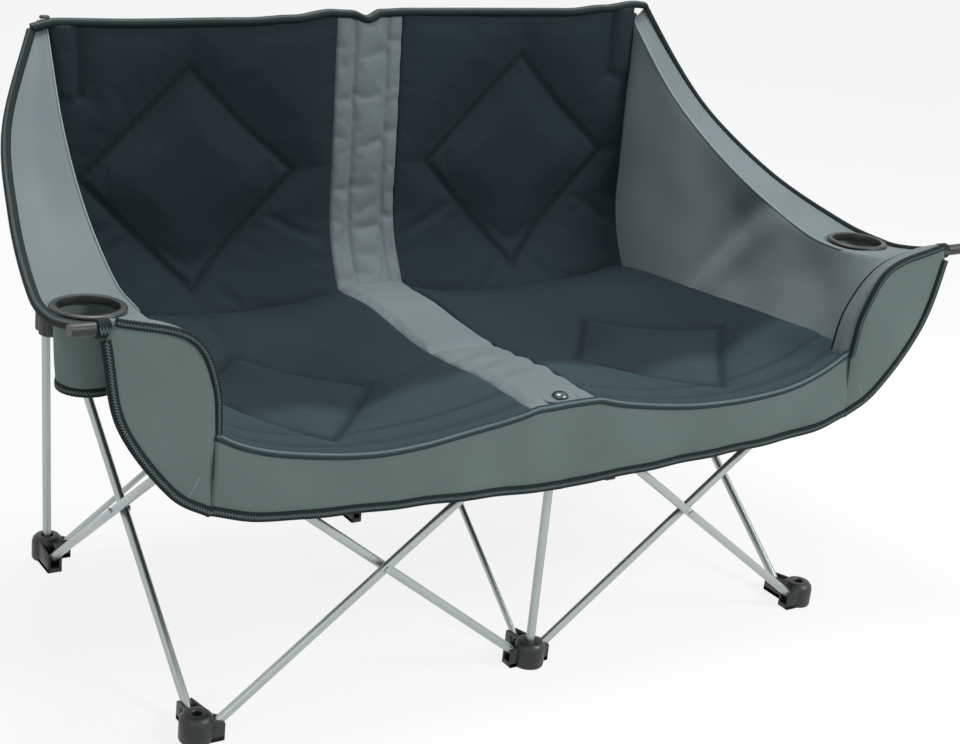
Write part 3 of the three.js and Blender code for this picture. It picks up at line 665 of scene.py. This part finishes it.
def makeFoot(place):
    r, h = footShape["radius"], footShape["height"]
    bore = footShape["bore"] + (footShape["rearRoom"] if place.startswith("rear") else 0)
    floor, start = footShape["floor"], footShape["noseFrom"]
    base = turnedRing("footBase", [(0.0005, 0.0), (r - 0.004, 0.0), (r - 0.001, 0.0012), (r, 0.004),
        (r, h - 0.012), (r - 0.0015, h - 0.006), (r - 0.006, h - 0.001), (r - 0.009, h), (bore + 0.0015, h),
        (bore, h - 0.0015), (bore, floor), (0.0005, floor)])
    parts = [base]
    for _, a, b, side, reach, kind in crosses:
        if place not in (a, b):
            continue
        inner = chair[kind] + chair["gap"]
        half = inner + footShape["wall"]
        shift = inner * (1 if place == a else -1)
        run = (placeOf(b if place == a else a) - placeOf(place)).normalized()
        nose = chair[reach] + footShape["nose"]
        # two cheeks and a floor between them
        for q0, q1, top in ((-half, -inner, footShape["lugTop"]), (inner, half, footShape["lugTop"]),
                (-half, half, floor)):
            p = run * (r * 0.55) + Vector(side) * (shift + q0)
            q = run * nose + Vector(side) * (shift + q1)
            low = (min(p.x, q.x), min(p.y, q.y), 0.0)
            high = (max(p.x, q.x), max(p.y, q.y), top)
            lug = block("lug", low, high, footShape["lugEdge"])
            for vertex in lug.data.vertices:
                along = Vector((vertex.co.x, vertex.co.y, 0)).dot(run)
                if top > floor and along > nose - start and vertex.co.z > start:
                    over = (along - (nose - start)) / start
                    vertex.co.z -= footShape["noseDrop"] * over * over * (vertex.co.z - start) / (top - start)
            parts.append(lug)
        pin = run * chair[reach] + Vector(side) * shift
        pin.z = chair["footPivot"]
        clearSelection()
        bpy.ops.mesh.primitive_cylinder_add(vertices=16, radius=footShape["pin"], depth=2 * half + 0.002)
        head = bpy.context.object
        turn = Vector(side).to_track_quat("Z", "Y").to_matrix().to_4x4()
        head.matrix_world = Matrix.Translation(pin) @ turn
        bpy.ops.object.transform_apply(location=True, rotation=True, scale=True)
        roundEdges(head, 0.0008, 2)
        parts.append(head)
    foot = joinUp(f"{place}_foot_moulded", parts)
    foot.location = placeOf(place)
    settle(foot, 35)
    dress(foot, blackPlastic)
    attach(foot, f"{place}_foot")
    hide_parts(f"{place}_foot")


for place in places:
    makeFoot(place)
print("feet made")


# cloth on a grid; U and V are metres of cloth
def clothGrid(name, columns, rows, surface, width, length):
    clearSelection()
    bpy.ops.mesh.primitive_grid_add(x_subdivisions=columns, y_subdivisions=rows, size=2)
    piece = bpy.context.object
    piece.name = name
    mesh = piece.data
    spots = [((v.co.x + 1) / 2, (v.co.y + 1) / 2) for v in mesh.vertices]
    uvLayer = mesh.uv_layers.active.data
    for corner in mesh.loops:
        s, t = spots[corner.vertex_index]
        uvLayer[corner.index].uv = (s * width, t * length)
    for vertex, (s, t) in zip(mesh.vertices, spots):
        vertex.co = surface(s, t)
    return piece, spots


def inflate(piece, pressure, cap, frames, stretch):
    rest = [v.co.copy() for v in piece.data.vertices]
    takeUp(piece)
    cloth = piece.modifiers.new("cloth", "CLOTH")
    settings = cloth.settings
    settings.quality = 4
    settings.mass = 0.3
    settings.tension_stiffness = 12
    settings.compression_stiffness = 12
    settings.shear_stiffness = 6
    settings.bending_stiffness = 1.5
    settings.shrink_min = stretch
    settings.use_pressure = True
    settings.uniform_pressure_force = pressure
    settings.effector_weights.gravity = 0
    settings.vertex_group_mass = "sewn"
    cloth.collision_settings.use_collision = False
    cloth.point_cache.frame_start = 1
    cloth.point_cache.frame_end = frames
    for step in range(1, frames + 1):
        scene.frame_set(step)
    bpy.ops.object.modifier_apply(modifier=cloth.name)
    for vertex, home in zip(piece.data.vertices, rest):
        moved = vertex.co - home
        if moved.length > cap:
            vertex.co = home + moved * (cap / moved.length)
    scene.frame_set(1)


def paddedShell(name, columns, rows, top, under, sewn, size, puff, gaps=None):
    # two layers sewn together at the edge and along the quilting, then blown up
    upper, spots = clothGrid(name, columns, rows, top, *size)
    lower, _ = clothGrid(name + "Under", columns, rows, under, *size)
    takeUp(lower)
    bpy.ops.object.mode_set(mode="EDIT")
    bpy.ops.mesh.select_all(action="SELECT")
    bpy.ops.mesh.flip_normals()
    bpy.ops.object.mode_set(mode="OBJECT")
    count = len(upper.data.vertices)
    piece = joinUp(name, [upper, lower])
    takeUp(piece)
    bpy.ops.object.mode_set(mode="EDIT")
    bpy.ops.mesh.select_mode(type="EDGE")
    bpy.ops.mesh.select_all(action="DESELECT")
    bpy.ops.mesh.select_non_manifold()
    bpy.ops.mesh.bridge_edge_loops()
    bpy.ops.mesh.select_all(action="SELECT")
    bpy.ops.mesh.normals_make_consistent(inside=False)
    bpy.ops.object.mode_set(mode="OBJECT")
    held = piece.vertex_groups.new(name="sewn")
    for k, (s, t) in enumerate(spots):
        held.add([k], sewn(s, t), "REPLACE")
    held.add(list(range(count, len(piece.data.vertices))), 1.0, "REPLACE")
    inflate(piece, *puff)
    piece.vertex_groups.clear()
    # painted shade is laid along the quilting seams
    if gaps:
        paintCreaseShade(piece, spots, gaps)
    subdivide(piece)
    smoothAll(piece)
    return piece


def sewnAlong(shape, gaps):
    # 1 where thread holds both layers: at the edge and on the seams
    def sewn(s, t):
        if min(s, t, 1 - s, 1 - t) < 0.5 / shape["cells"]:
            return 1.0
        return 1.0 if min(gap for gap, _ in gaps(s, t)) < 0.6 else 0.0

    return sewn


# seat pads
seatPad = {
    "cells": 84, "crown": 0.020, "edge": 0.007, "sagFront": 0.034, "sagRear": 0.024, "sagMiddle": 0.023,
    "diamond": (47, 34, 25), "channels": (4.5, 11), "groove": 0.019, "puff": (2.5, 0.004, 14, -0.004),
    "meshZone": 0.30, "dip": 0.014, "rear": 0.592, "edgeFront": 0.598, "edgeRear": 0.553, "rise": 0.034,
    "rearDrop": 0.010,
}


def seatEdge(t):
    # outer edge of the seat cloth, wider in front where it rises to the arm
    return lerp(seatPad["edgeFront"], seatPad["edgeRear"], clamp(t) ** 0.7)


def sagAcross(s):
    return hump(s / (1 - 1 / 14)) ** 0.8


def seatLevel(s, t):
    depth = lerp(seatPad["sagFront"], seatPad["sagRear"], t) + seatPad["sagMiddle"] * hump(t)
    lift = seatPad["rise"] * clamp(s) ** 7 * (1 - t) ** 1.4
    lift -= stripDip(t) * (1 - clamp(s / 0.25))
    lift -= seatPad["rearDrop"] * clamp((t - 0.8) / 0.2) ** 2
    return chair["seatLevel"] - depth * sagAcross(s) + lift


def stripDip(t):
    # the middle of the seat hangs a little between front and rear
    return seatPad["dip"] * hump((t - 1 / 6) / (2 / 3)) ** 2


def grooveOf(distance, width):
    return math.exp(-(distance / width) ** 2)


def pillow(distance, width=5.0):
    # a broad hollow towards a seam with a sharp crease at its bottom
    return 0.58 * grooveOf(distance, width) + 0.42 * grooveOf(distance, 1.1)


def diamondGap(shape, i, j):
    ci, cj, half = shape["diamond"]
    return abs(abs(i - ci) + abs(j - cj) - half) / math.sqrt(2)


def seatGap(s, t):
    # the way to the nearest seam, in cells, and how deep that seam pulls in
    cells = seatPad["cells"]
    gaps = [(diamondGap(seatPad, s * cells, t * cells), 1.0)]
    return gaps + [(abs(t * cells - row), 0.55) for row in seatPad["channels"]]


def seatSeam(s, t):
    return max(pillow(gap, 5.0 if share == 1 else 2.2) * share for gap, share in seatGap(s, t))


def paintCreaseShade(pad, spots, gaps):
    # painted shade: the cloth's colour is darkened along the quilting seams, where shade falls in the creases
    creaseShade = pad.data.attributes.new("crease", "FLOAT", "POINT")
    for k, (s, t) in enumerate(spots):
        creaseShade.data[k].value = max(0.65 * share * grooveOf(gap, 0.75) for gap, share in gaps(s, t))


def makeSeat(hand, way):
    def place(s, t, z):
        x = way * lerp(chair["padInner"], seatEdge(t), s)
        return Vector((x, lerp(chair["seatFront"], seatPad["rear"], t), z))

    def top(s, t):
        rise = seatPad["edge"] + seatPad["crown"] * (hump(s) * hump(t)) ** 0.4
        rise -= seatPad["groove"] * seatSeam(s, t) * (hump(s) * hump(t)) ** 0.25
        return place(s, t, seatLevel(s, t) + rise)

    def under(s, t):
        return place(s, t, seatLevel(s, t))

    pad = paddedShell(f"{hand}_seat_pad_quilted", seatPad["cells"], seatPad["cells"], top, under,
        sewnAlong(seatPad, seatGap), (0.48, 0.63), seatPad["puff"], seatGap)
    zone = pad.data.attributes.new("frontZone", "FLOAT", "POINT")
    for k, vertex in enumerate(pad.data.vertices):
        t = (vertex.co.y - chair["seatFront"]) / (chair["seatRear"] - chair["seatFront"])
        zone.data[k].value = clamp((seatPad["meshZone"] - t) / 0.06) * 0.24
    dress(pad, padCloth)
    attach(pad, "seat")
    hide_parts(f"{hand}_seat_pad")
    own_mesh(pad)


for hand, way in hands:
    makeSeat(hand, way)
print("seat pads made")

# back pads
backPad = {
    "cells": 84, "crown": 0.013, "edge": 0.007, "bow": 0.026, "low": 0.4467, "foot": 0.020,
    "outer": (0.556, 0.562), "offPost": 0.0078, "tuck": (0.056, 0.32), "tape": (0.0085, 0.0045, 0.0115),
    "tapeFrom": 0.064, "tapeTo": 0.588, "tapeBow": 0.0024,
    "diamond": (44, 39, 32), "groove": 0.015, "puff": (2.5, 0.004, 14, -0.004), "sleeve": (0.905, 0.74),
    "topLine": [(-0.61, 0.873), (-0.547, 0.885), (-0.439, 0.884), (-0.227, 0.887), (-0.143, 0.892),
        (-0.073, 0.902), (-0.035, 0.901), (-0.004, 0.8925), (0.022, 0.903), (0.073, 0.905), (0.228, 0.906),
        (0.414, 0.907), (0.494, 0.914), (0.565, 0.922), (0.61, 0.918)],
}


def backTop(x):
    return lineAt(backPad["topLine"], x)


def backLevel(x, s, t):
    return lerp(backPad["low"] - backPad["foot"] * (1 + sagAcross(s)), backTop(x), t)


def tuck(t):
    # the foot of the back comes forward to the seat in a soft bend
    reach, height = backPad["tuck"]
    return reach * (1 - clamp(t / height)) ** 2


def backRear(x, s, t):
    bow = backPad["bow"] * hump(s) * hump(lerp(0.2, 0.9, t))
    return postY(backLevel(x, s, t)) - backPad["offPost"] + bow - tuck(t)


def backGap(s, t):
    cells = backPad["cells"]
    gaps = [(diamondGap(backPad, s * cells, t * cells), 1.0)]
    across, low = backPad["sleeve"]
    if t > low:
        gaps.append((abs(s - across) * cells, 0.6))
    return gaps


def backSeam(s, t):
    return max(pillow(gap, 6.0 if share == 1 else 1.6) * share for gap, share in backGap(s, t))


def topTape(name, places, bow):
    # binding along the top of the back
    half, thick, forward = backPad["tape"]
    line = []
    for x in places:
        y = postY(backTop(x)) - forward + bow * hump(abs(x) / backPad["tapeTo"])
        line.append(Vector((x, y, backTop(x) + 0.001)))
    return tape(name, line, half, thick, (0, -0.25, 1), blackTape)


def makeBack(hand, way):
    def across(s, t):
        return way * lerp(chair["padInner"], lerp(*backPad["outer"], t), s)

    def place(s, t, off):
        x = across(s, t)
        return Vector((x, backRear(x, s, t) - off, backLevel(x, s, t)))

    def top(s, t):
        rise = backPad["edge"] + backPad["crown"] * (hump(s) * hump(t)) ** 0.4
        seam, low = backPad["sleeve"]
        if s > seam and t > low:
            rise += 0.006 * hump((s - seam) / (1 - seam)) * clamp((t - low) / 0.03)
        rise -= backPad["groove"] * backSeam(s, t) * (hump(s) * hump(t)) ** 0.25
        return place(s, t, rise)

    def under(s, t):
        return place(s, t, 0.0)

    pad = paddedShell(f"{hand}_back_pad_quilted", backPad["cells"], backPad["cells"], top, under,
        sewnAlong(backPad, backGap), (0.48, 0.44), backPad["puff"], backGap)
    dress(pad, padCloth)
    places = [way * lerp(backPad["tapeFrom"], backPad["tapeTo"], k / 60) for k in range(61)]
    edge = topTape("topEdge", places, backPad["tapeBow"])
    pad = joinUp(f"{hand}_back_pad_quilted", [pad, edge])
    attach(pad, "rear_middle_post")
    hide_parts(f"{hand}_back_pad")
    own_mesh(pad)


for hand, way in hands:
    makeBack(hand, way)
print("back pads made")

# centre strip: three quilted columns, sewn across every so often
strip = {"half": 0.0655, "columns": 32, "rows": 84, "puff": (3.0, 0.003, 10, -0.008), "seams": (0.27, 0.76),
    "cross": 0.475, "puckers": (0.06, 0.22, 0.38, 0.54, 0.72, 0.87), "edge": 0.002, "seatCrown": 0.010,
    "backCrown": 0.011, "crossDepth": 0.005, "wave": 0.0022, "waveFrom": 0.10, "seamDepth": 0.0055,
    "puckerDepth": 0.0035, "puckerShift": (0.02, 0.0, 0.035)}


def stripSeam(s):
    return max(grooveOf(abs(s - line) * strip["columns"], 1.0) for line in strip["seams"])


def makeStrip(name, top, at, held, size):
    def under(s, t):
        return at(s, t, 0.0)

    def sewn(s, t):
        if min(s, 1 - s) < 0.5 / strip["columns"] or min(t, 1 - t) < 0.5 / strip["rows"]:
            return 1.0
        return 1.0 if held(s, t) else 0.0

    pad = paddedShell(name, strip["columns"], strip["rows"], top, under, sewn, size, strip["puff"])
    dress(pad, greyCloth)
    return pad


def stripLevel(t):
    return chair["seatLevel"] - stripDip(t)


def seatStripAt(s, t, rise):
    x = lerp(-strip["half"], strip["half"], s)
    return Vector((x, lerp(chair["seatFront"], seatPad["rear"] + 0.004, t), stripLevel(t) + rise))


def seatStripTop(s, t):
    # plain behind the cross seam, gathered in soft waves in front of it
    rise = strip["seatCrown"] * (hump(s) * hump(t)) ** 0.15 + strip["edge"]
    rise -= strip["crossDepth"] * grooveOf((t - strip["cross"]) * strip["rows"], 1.0)
    if strip["waveFrom"] < t < strip["cross"]:
        gather = hump((t - strip["waveFrom"]) / (strip["cross"] - strip["waveFrom"]))
        rise += strip["wave"] * gather * math.sin(t * 74 + 2.2 * s + 1.5 * math.sin(9 * s))
    return seatStripAt(s, t, rise)


seatStrip = makeStrip("seat_centre_strip_quilted", seatStripTop, seatStripAt,
    lambda s, t: abs(t - strip["cross"]) * strip["rows"] < 0.6, (0.13, 0.63))
# a sewn frame round the button
buttonhole = {"halfWide": 0.029, "halfLong": 0.0165, "middle": 0.001, "over": 0.0105, "roundness": 0.55}
holeLine = []
for k in range(49):
    a = 2 * math.pi * k / 48
    across = abs(math.cos(a)) ** buttonhole["roundness"] * math.copysign(buttonhole["halfWide"], math.cos(a))
    along = abs(math.sin(a)) ** buttonhole["roundness"] * math.copysign(buttonhole["halfLong"], math.sin(a))
    holeLine.append(Vector((across, buttonhole["middle"] + along, stripLevel(0.04) + buttonhole["over"])))
sewnHole = tape("buttonhole", holeLine, 0.0026, 0.0016, (0, 0, 1), greyCloth)
seatStrip = joinUp("seat_centre_strip_quilted", [seatStrip, sewnHole])
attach(seatStrip, "seat")
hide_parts("seat_centre_strip")
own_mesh(seatStrip)


def backStripAt(s, t, rise):
    x = lerp(-strip["half"], strip["half"], s)
    z = lerp(backPad["low"] - 0.012, backTop(x) - 0.002, t)
    return Vector((x, postY(z) - backPad["offPost"] - tuck(t) - rise, z))


def backStripTop(s, t):
    # three padded columns, each drawn in here and there
    column = sum(s > line for line in strip["seams"])
    rise = strip["backCrown"] * (hump(s) * hump(t)) ** 0.15 + strip["edge"]
    rise -= strip["seamDepth"] * stripSeam(s)
    for k, line in enumerate(strip["puckers"]):
        middle = line + strip["puckerShift"][column] * (1 if k % 2 else -1)
        drawn = grooveOf((t - middle) * strip["rows"], 1.4) * (0.5 + 0.5 * math.sin(7 * s + 3 * k))
        rise -= strip["puckerDepth"] * drawn
    return backStripAt(s, t, rise)


backStrip = makeStrip("back_centre_strip_quilted", backStripTop, backStripAt,
    lambda s, t: min(abs(s - line) for line in strip["seams"]) * strip["columns"] < 0.6, (0.13, 0.44))
edge = topTape("stripTop", [lerp(-0.067, 0.067, k / 36) for k in range(37)], 0.0)
backStrip = joinUp("back_centre_strip_quilted", [backStrip, edge])
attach(backStrip, "rear_middle_post")
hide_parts("back_centre_strip")
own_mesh(backStrip)
print("centre strips made")


# cloth sleeves that hold the back on its posts
postSleeve = {"from": 0.70, "over": 0.003, "highest": 0.905, "radius": 0.0106, "thick": 0.0016}
for place, x in (("left", -1), ("middle", 0), ("right", 1)):
    top = min(backTop(x * chair["spacing"]) + postSleeve["over"], postSleeve["highest"])
    heights = [lerp(postSleeve["from"], top, k / 24) for k in range(25)]
    line = [Vector((x * chair["spacing"], postY(z), z)) for z in heights]
    sleeve = sweep(f"{place}_post_sleeve", line, roundProfile(postSleeve["radius"]), (0, -1, 0), ends=False)
    thicken(sleeve, postSleeve["thick"])
    dress(sleeve, padCloth)
    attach(sleeve, f"rear_{place}_post")

# front skirt, hung from the seat's rim, with a bound hem
skirt = {"half": 0.572, "columns": 150, "rows": 16, "fold": 0.003, "thick": 0.0022}


def rimTop(x):
    s = (abs(x) - chair["padInner"]) / (seatEdge(0) - chair["padInner"])
    z = stripLevel(0) if s < 0 else seatLevel(clamp(s), 0)
    return z + 0.007


hemLine = [(0, 0, 0.315), (0.2, 0, 0.325), (0.4, 0, 0.334), (0.5, 0, 0.343), (0.572, 0, 0.362)]


def hemLevel(x):
    low, high = 0.0, 1.0
    for _ in range(24):
        middle = (low + high) / 2
        if curvePoint(hemLine, middle).x < abs(x):
            low = middle
        else:
            high = middle
    return curvePoint(hemLine, low).z


def skirtPoint(s, t):
    x = lerp(-skirt["half"], skirt["half"], s)
    fold = skirt["fold"] * (1 - math.cos(20 * math.pi * s)) / 2 * (1 - t)
    soft = 0.013 * noise.noise(Vector((x * 8, t * 0.9, 3.1))) * hump(t * 0.75 + 0.05)
    return Vector((x, chair["seatFront"] - 0.0024 - fold + soft, lerp(hemLevel(x), rimTop(x), t)))


cloth, _ = clothGrid("front_skirt_cloth", skirt["columns"], skirt["rows"], skirtPoint, 1.15, 0.12)
thicken(cloth, skirt["thick"])
smoothAll(cloth)
dress(cloth, skirtCloth)
hem = tape("hem", [skirtPoint(k / 120, 0.02) + Vector((0, -0.001, 0)) for k in range(121)], 0.007, 0.0032,
    (0, -1, 0), blackTape)
rim = tape("rim", [skirtPoint(k / 120, 1.0) + Vector((0, 0.001, 0.001)) for k in range(121)], 0.0055, 0.0045,
    (0, -0.7, 0.7), rimTape)
cloth = joinUp("front_skirt_cloth", [cloth, hem, rim])
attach(cloth, "front_middle_hub")
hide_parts("front_skirt")
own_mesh(cloth)
print("skirt made")

# arm gussets: the skirt's band runs up in front of the arm tube to its tip
gusset = {
    "columns": 36, "rows": 14, "thick": 0.0022, "front": (-0.0224, -0.0366), "belly": 0.004, "sleeve": 0.0112,
    "cuff": 0.0124, "facing": 0.0012, "seam": ((0.5725, -0.0278, 0.452), (0.612, -0.0278, 0.379)),
    "inner": [(0.566, 0.4630), (0.575, 0.5430), (0.6135, 0.6130), (0.7179, 0.6459)],
    "outer": [(0.572, 0.362), (0.632, 0.4030), (0.7041, 0.5061), (0.730, 0.6220)],
}


def gussetPoint(way, u, v):
    inner = curvePoint([(x, 0, z) for x, z in gusset["inner"]], u)
    outer = curvePoint([(x, 0, z) for x, z in gusset["outer"]], u)
    point = inner.lerp(outer, v)
    y = lerp(*gusset["front"], u) - 0.002 - gusset["belly"] * hump(v) * hump(u)
    y += 0.002 * noise.noise(Vector((u * 4, v * 2, 7.7)))
    return Vector((way * point.x, y, point.z))


for hand, way in hands:
    cloth, _ = clothGrid(f"{hand}_arm_gusset_cloth", gusset["columns"], gusset["rows"],
        lambda u, v: gussetPoint(way, u, v), 0.32, 0.12)
    thicken(cloth, gusset["thick"])
    smoothAll(cloth)
    dress(cloth, skirtCloth)
    parts = [cloth]
    for v, half in ((0.0, 0.0055), (1.0, 0.007)):
        line = [gussetPoint(way, k / 50, v) + Vector((0, -0.001, 0)) for k in range(51)]
        parts.append(tape("edge", line, half, 0.0034, (0, -1, 0), blackTape))

    def facingPoint(a, k):
        tube = armTubePoint(lerp(0.10, 0.90, k))
        rear, inner = tube + Vector((0.004, 0.011, 0)), tube + Vector((-0.020, -0.008, 0.012))
        edge = gussetPoint(1, k, 0.02) + Vector((0, 0.0015, 0))
        point = rear * (1 - a) ** 2 + inner * 2 * a * (1 - a) + edge * a * a
        return mirrored(way, point)

    facing, _ = clothGrid("facing", 10, 40, facingPoint, 0.05, 0.30)
    thicken(facing, gusset["facing"])
    smoothAll(facing)
    dress(facing, greyCloth)
    parts.append(facing)
    high, low = [Vector(end) for end in gusset["seam"]]
    corner = [mirrored(way, high.lerp(low, k / 16) - Vector((0, 0.002 * hump(k / 16), 0))) for k in range(17)]
    parts.append(tape("cornerSeam", corner, 0.0009, 0.0007, (0, -1, 0), seamThread))
    # the sleeve round the arm tube, open at the tip
    sleeveLine = armLine(way, 60)[9:57]
    sleeve = sweep("sleeve", sleeveLine, roundProfile(gusset["sleeve"]), (0, -1, 0.01), ends=False)
    dress(sleeve, greyCloth)
    parts.append(sleeve)
    cuff = sweep("cuff", armLine(way, 60)[54:57], roundProfile(gusset["cuff"]), (0, -1, 0.01))
    dress(cuff, blackTape)
    parts.append(cuff)
    cloth = joinUp(f"{hand}_arm_gusset_cloth", parts)
    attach(cloth, f"front_{hand}_hub")
    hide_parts(f"{hand}_arm_gusset")
print("gussets made")

# arm cloths
armCloth = {
    "rearLift": [(-0.004, -0.008), (0.014, 0.037)], "wrapFrom": 0.84, "belly": 0.014, "folds": 0.007,
    "furrow": (0.012, 0.010), "dip": 0.006, "tubeShares": (0.12, 0.70, 0.92), "behindTube": (-0.002, 0.0095, 0),
    "foot": (0.588, 0.0125), "seatLap": 0.004, "back": (0.4267, 0.457),
    "columns": 90, "wallRows": 30, "bandRows": 18, "thick": 0.0024, "foldRow": 0.6, "hole": 0.046,
    "crease": [(0.564, 0.6606, 0.882), (0.588, 0.5201, 0.7619), (0.60816, 0.3702, 0.6761),
        (0.62416, 0.21, 0.6179), (0.628, 0.120, 0.606), (0.64016, 0.0154, 0.612)],
    "rim": [(0.588, 0.6586, 0.882), (0.66391, 0.5397, 0.752), (0.70605, 0.3801, 0.664),
        (0.73806, 0.2149, 0.6159), (0.748, 0.120, 0.606), (0.73402, 0.0154, 0.612)],
}


def armPoint(way, u, v):
    fold = armCloth["foldRow"]
    lifts = armCloth["rearLift"][way > 0]
    crease = curvePoint(armCloth["crease"], u) + Vector((0, 0, lifts[0] * clamp(1 - u * 5) ** 2))
    if v >= fold:
        share = (v - fold) / (1 - fold)
        rim = curvePoint(armCloth["rim"], u) + Vector((0, 0, lifts[1] * clamp(1 - u * 4) ** 2))
        point = crease.lerp(rim, share)
        uneven = 0.004 * noise.noise(Vector((u * 7, share * 2, 1.3)))
        point.z += (uneven - armCloth["dip"] * hump(u)) * hump(share)
    else:
        t = v / fold
        lap = armCloth["seatLap"]
        low = Vector((seatEdge(1 - u) - lap, lerp(*armCloth["foot"], u), seatLevel(1.0, 1 - u) + lap))
        point = low.lerp(crease, t)
        # the wall bellies out, with broad soft folds that run down from the crease
        point.x += armCloth["belly"] * hump(t) * hump(u)
        point.x += armCloth["folds"] * hump(t) * math.sin(u * 17 + 1.4 * t) * hump(u)
        point.x += 0.004 * noise.noise(Vector((u * 6, t * 3, 5.2))) * hump(t)
        furrow = u - 0.34 - 0.14 * t
        hollow, ridge = armCloth["furrow"]
        pull = hollow * grooveOf(furrow, 0.035) - ridge * grooveOf(furrow - 0.075, 0.04)
        point.x += pull * hump(t) ** 0.7
        # its rear edge lies along the back
        backFoot, backHeight = armCloth["back"]
        rearY = postY(point.z) - lap - tuck((point.z - backFoot) / backHeight)
        point.y = lerp(point.y, rearY, clamp(1 - u * 6) ** 2)
    # the front edge closes round the arm tube's sleeve
    share = clamp((u - armCloth["wrapFrom"]) / (1 - armCloth["wrapFrom"]))
    start, bend, end = armCloth["tubeShares"]
    k = lerp(start, bend, v / fold) if v < fold else lerp(bend, end, (v - fold) / (1 - fold))
    behindTube = armTubePoint(k) + Vector(armCloth["behindTube"])
    point = point.lerp(behindTube, share * share * (3 - 2 * share))
    return mirrored(way, point)


for hand, way in hands:
    rows = armCloth["wallRows"] + armCloth["bandRows"]
    cloth, _ = clothGrid(f"{hand}_arm_panel_cloth", armCloth["columns"], rows,
        lambda u, v: armPoint(way, u, v), 0.82, 0.34)
    thicken(cloth, armCloth["thick"])
    clearSelection()
    bpy.ops.mesh.primitive_cylinder_add(vertices=48, radius=armCloth["hole"], depth=0.12,
        location=(way * chair["cupX"], chair["cupY"], chair["armrest"]))
    cutter = bpy.context.object
    bpy.ops.object.transform_apply(location=True)
    cut = cloth.modifiers.new("cupHole", "BOOLEAN")
    cut.operation = "DIFFERENCE"
    cut.solver = "EXACT"
    cut.object = cutter
    applyAll(cloth)
    bpy.data.objects.remove(cutter)
    takeUp(cloth)
    bpy.ops.object.shade_smooth_by_angle(angle=math.radians(60))
    cloth.data.materials.clear()
    dress(cloth, greyCloth)
    parts = [cloth]
    rimLine = [armPoint(way, k / 80, 1.0) for k in range(81)]
    parts.append(tape("armRim", rimLine, 0.0075, 0.0042, (way * 0.5, 0, 0.8), blackTape))
    frontLine = [armPoint(way, 1.0, k / 40) for k in range(41)]
    parts.append(tape("armFront", frontLine, 0.006, 0.0036, (0, -1, 0), blackTape))
    above = Vector((-way * 0.0008, 0, 0.0012))
    creaseLine = [armPoint(way, k / 80, armCloth["foldRow"]) + above for k in range(68)]
    parts.append(tape("armCrease", creaseLine, 0.0016, 0.0010, (-way * 0.7, 0, 0.7), seamThread))
    seamLine = [armPoint(way, 0.0, k / 40) + Vector((-way * 0.002, -0.002, 0)) for k in range(25)]
    parts.append(tape("armRear", seamLine, 0.004, 0.003, (-way, -0.2, 0), blackTape))
    cloth = joinUp(f"{hand}_arm_panel_cloth", parts)
    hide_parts(f"{hand}_arm_panel")
    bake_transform(cloth)
print("arm cloths made")

# cup rings and pockets
cup = {"ringIn": 0.041, "neck": 0.0434, "ringOut": 0.051, "top": 0.6133, "seat": 0.6093, "low": 0.6015,
    "pocketTop": 0.6012, "pocketLow": 0.4972, "pocketWall": (0.0385, 0.0455), "thick": 0.002, "band": 0.0398}

for hand, way in hands:
    middle = Vector((way * chair["cupX"], chair["cupY"], 0))
    inner, neck, outer = cup["ringIn"], cup["neck"], cup["ringOut"]
    top, seat, low = cup["top"], cup["seat"], cup["low"]
    ring = turnedRing(f"{hand}_cup_ring_moulded", [(inner, low), (neck, low), (neck, seat),
        (outer - 0.0006, seat), (outer, seat + 0.0008), (outer - 0.0004, seat + 0.0022),
        (outer - 0.003, top - 0.0004), (outer - 0.005, top), (inner + 0.003, top),
        (inner + 0.0008, top - 0.0008), (inner, top - 0.003), (inner, low)], 64)
    ring.location = middle
    settle(ring, 50)
    dress(ring, blackPlastic)
    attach(ring, f"front_{hand}_hub")
    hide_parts(f"{hand}_cup_ring")

    def around(radius, angle, z):
        return middle + Vector((radius * math.cos(angle), radius * math.sin(angle), z))

    def pocketPoint(s, t):
        angle = 2 * math.pi * s
        radius = lerp(*cup["pocketWall"], t) + 0.0012 * math.sin(angle * 5 + 3 * t) * hump(t)
        return around(radius, angle, lerp(cup["pocketLow"] + 0.004, cup["pocketTop"], t))

    pocket, _ = clothGrid(f"{hand}_cup_pocket_cloth", 64, 24, pocketPoint, 0.28, 0.104)
    takeUp(pocket)
    bpy.ops.object.mode_set(mode="EDIT")
    bpy.ops.mesh.select_all(action="SELECT")
    bpy.ops.mesh.remove_doubles(threshold=0.00005)
    bpy.ops.object.mode_set(mode="OBJECT")
    thicken(pocket, cup["thick"])
    settle(pocket, 60)
    dress(pocket, skirtCloth)
    low = cup["pocketLow"]
    bottom = turnedRing("pocketBottom", [(0.0005, low), (0.036, low), (0.039, low + 0.002),
        (0.039, low + 0.004), (0.036, low + 0.005), (0.0005, low + 0.005)])
    bottom.location = middle
    settle(bottom, 50)
    dress(bottom, skirtCloth)
    bandLine = [around(cup["band"], 2 * math.pi * k / 48, low + 0.007) for k in range(49)]
    centre = around(0, 0, low + 0.007)
    band = tape("pocketBand", bandLine, 0.006, 0.0018, lambda p, u: p - centre, blackTape)
    pocket = joinUp(f"{hand}_cup_pocket_cloth", [pocket, bottom, band])
    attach(pocket, f"front_{hand}_hub")
    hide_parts(f"{hand}_cup_pocket")
print("cup holders made")

# button on the middle hub
button = turnedRing("seat_button_pressed", [(0.0005, 0.4285), (0.0025, 0.4285), (0.0025, 0.4500),
    (0.0122, 0.4500), (0.0128, 0.4508), (0.0126, 0.4522), (0.0112, 0.4546), (0.0085, 0.4566),
    (0.0048, 0.4578), (0.0005, 0.4582)], 40)
settle(button, 50)
buttonMetal = newMaterial("buttonMetal", 0.22, 0.9, colour=(0.10, 0.12, 0.12))[0]
dress(button, buttonMetal)
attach(button, "front_middle_hub")
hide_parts("seat_button")
print("button made")
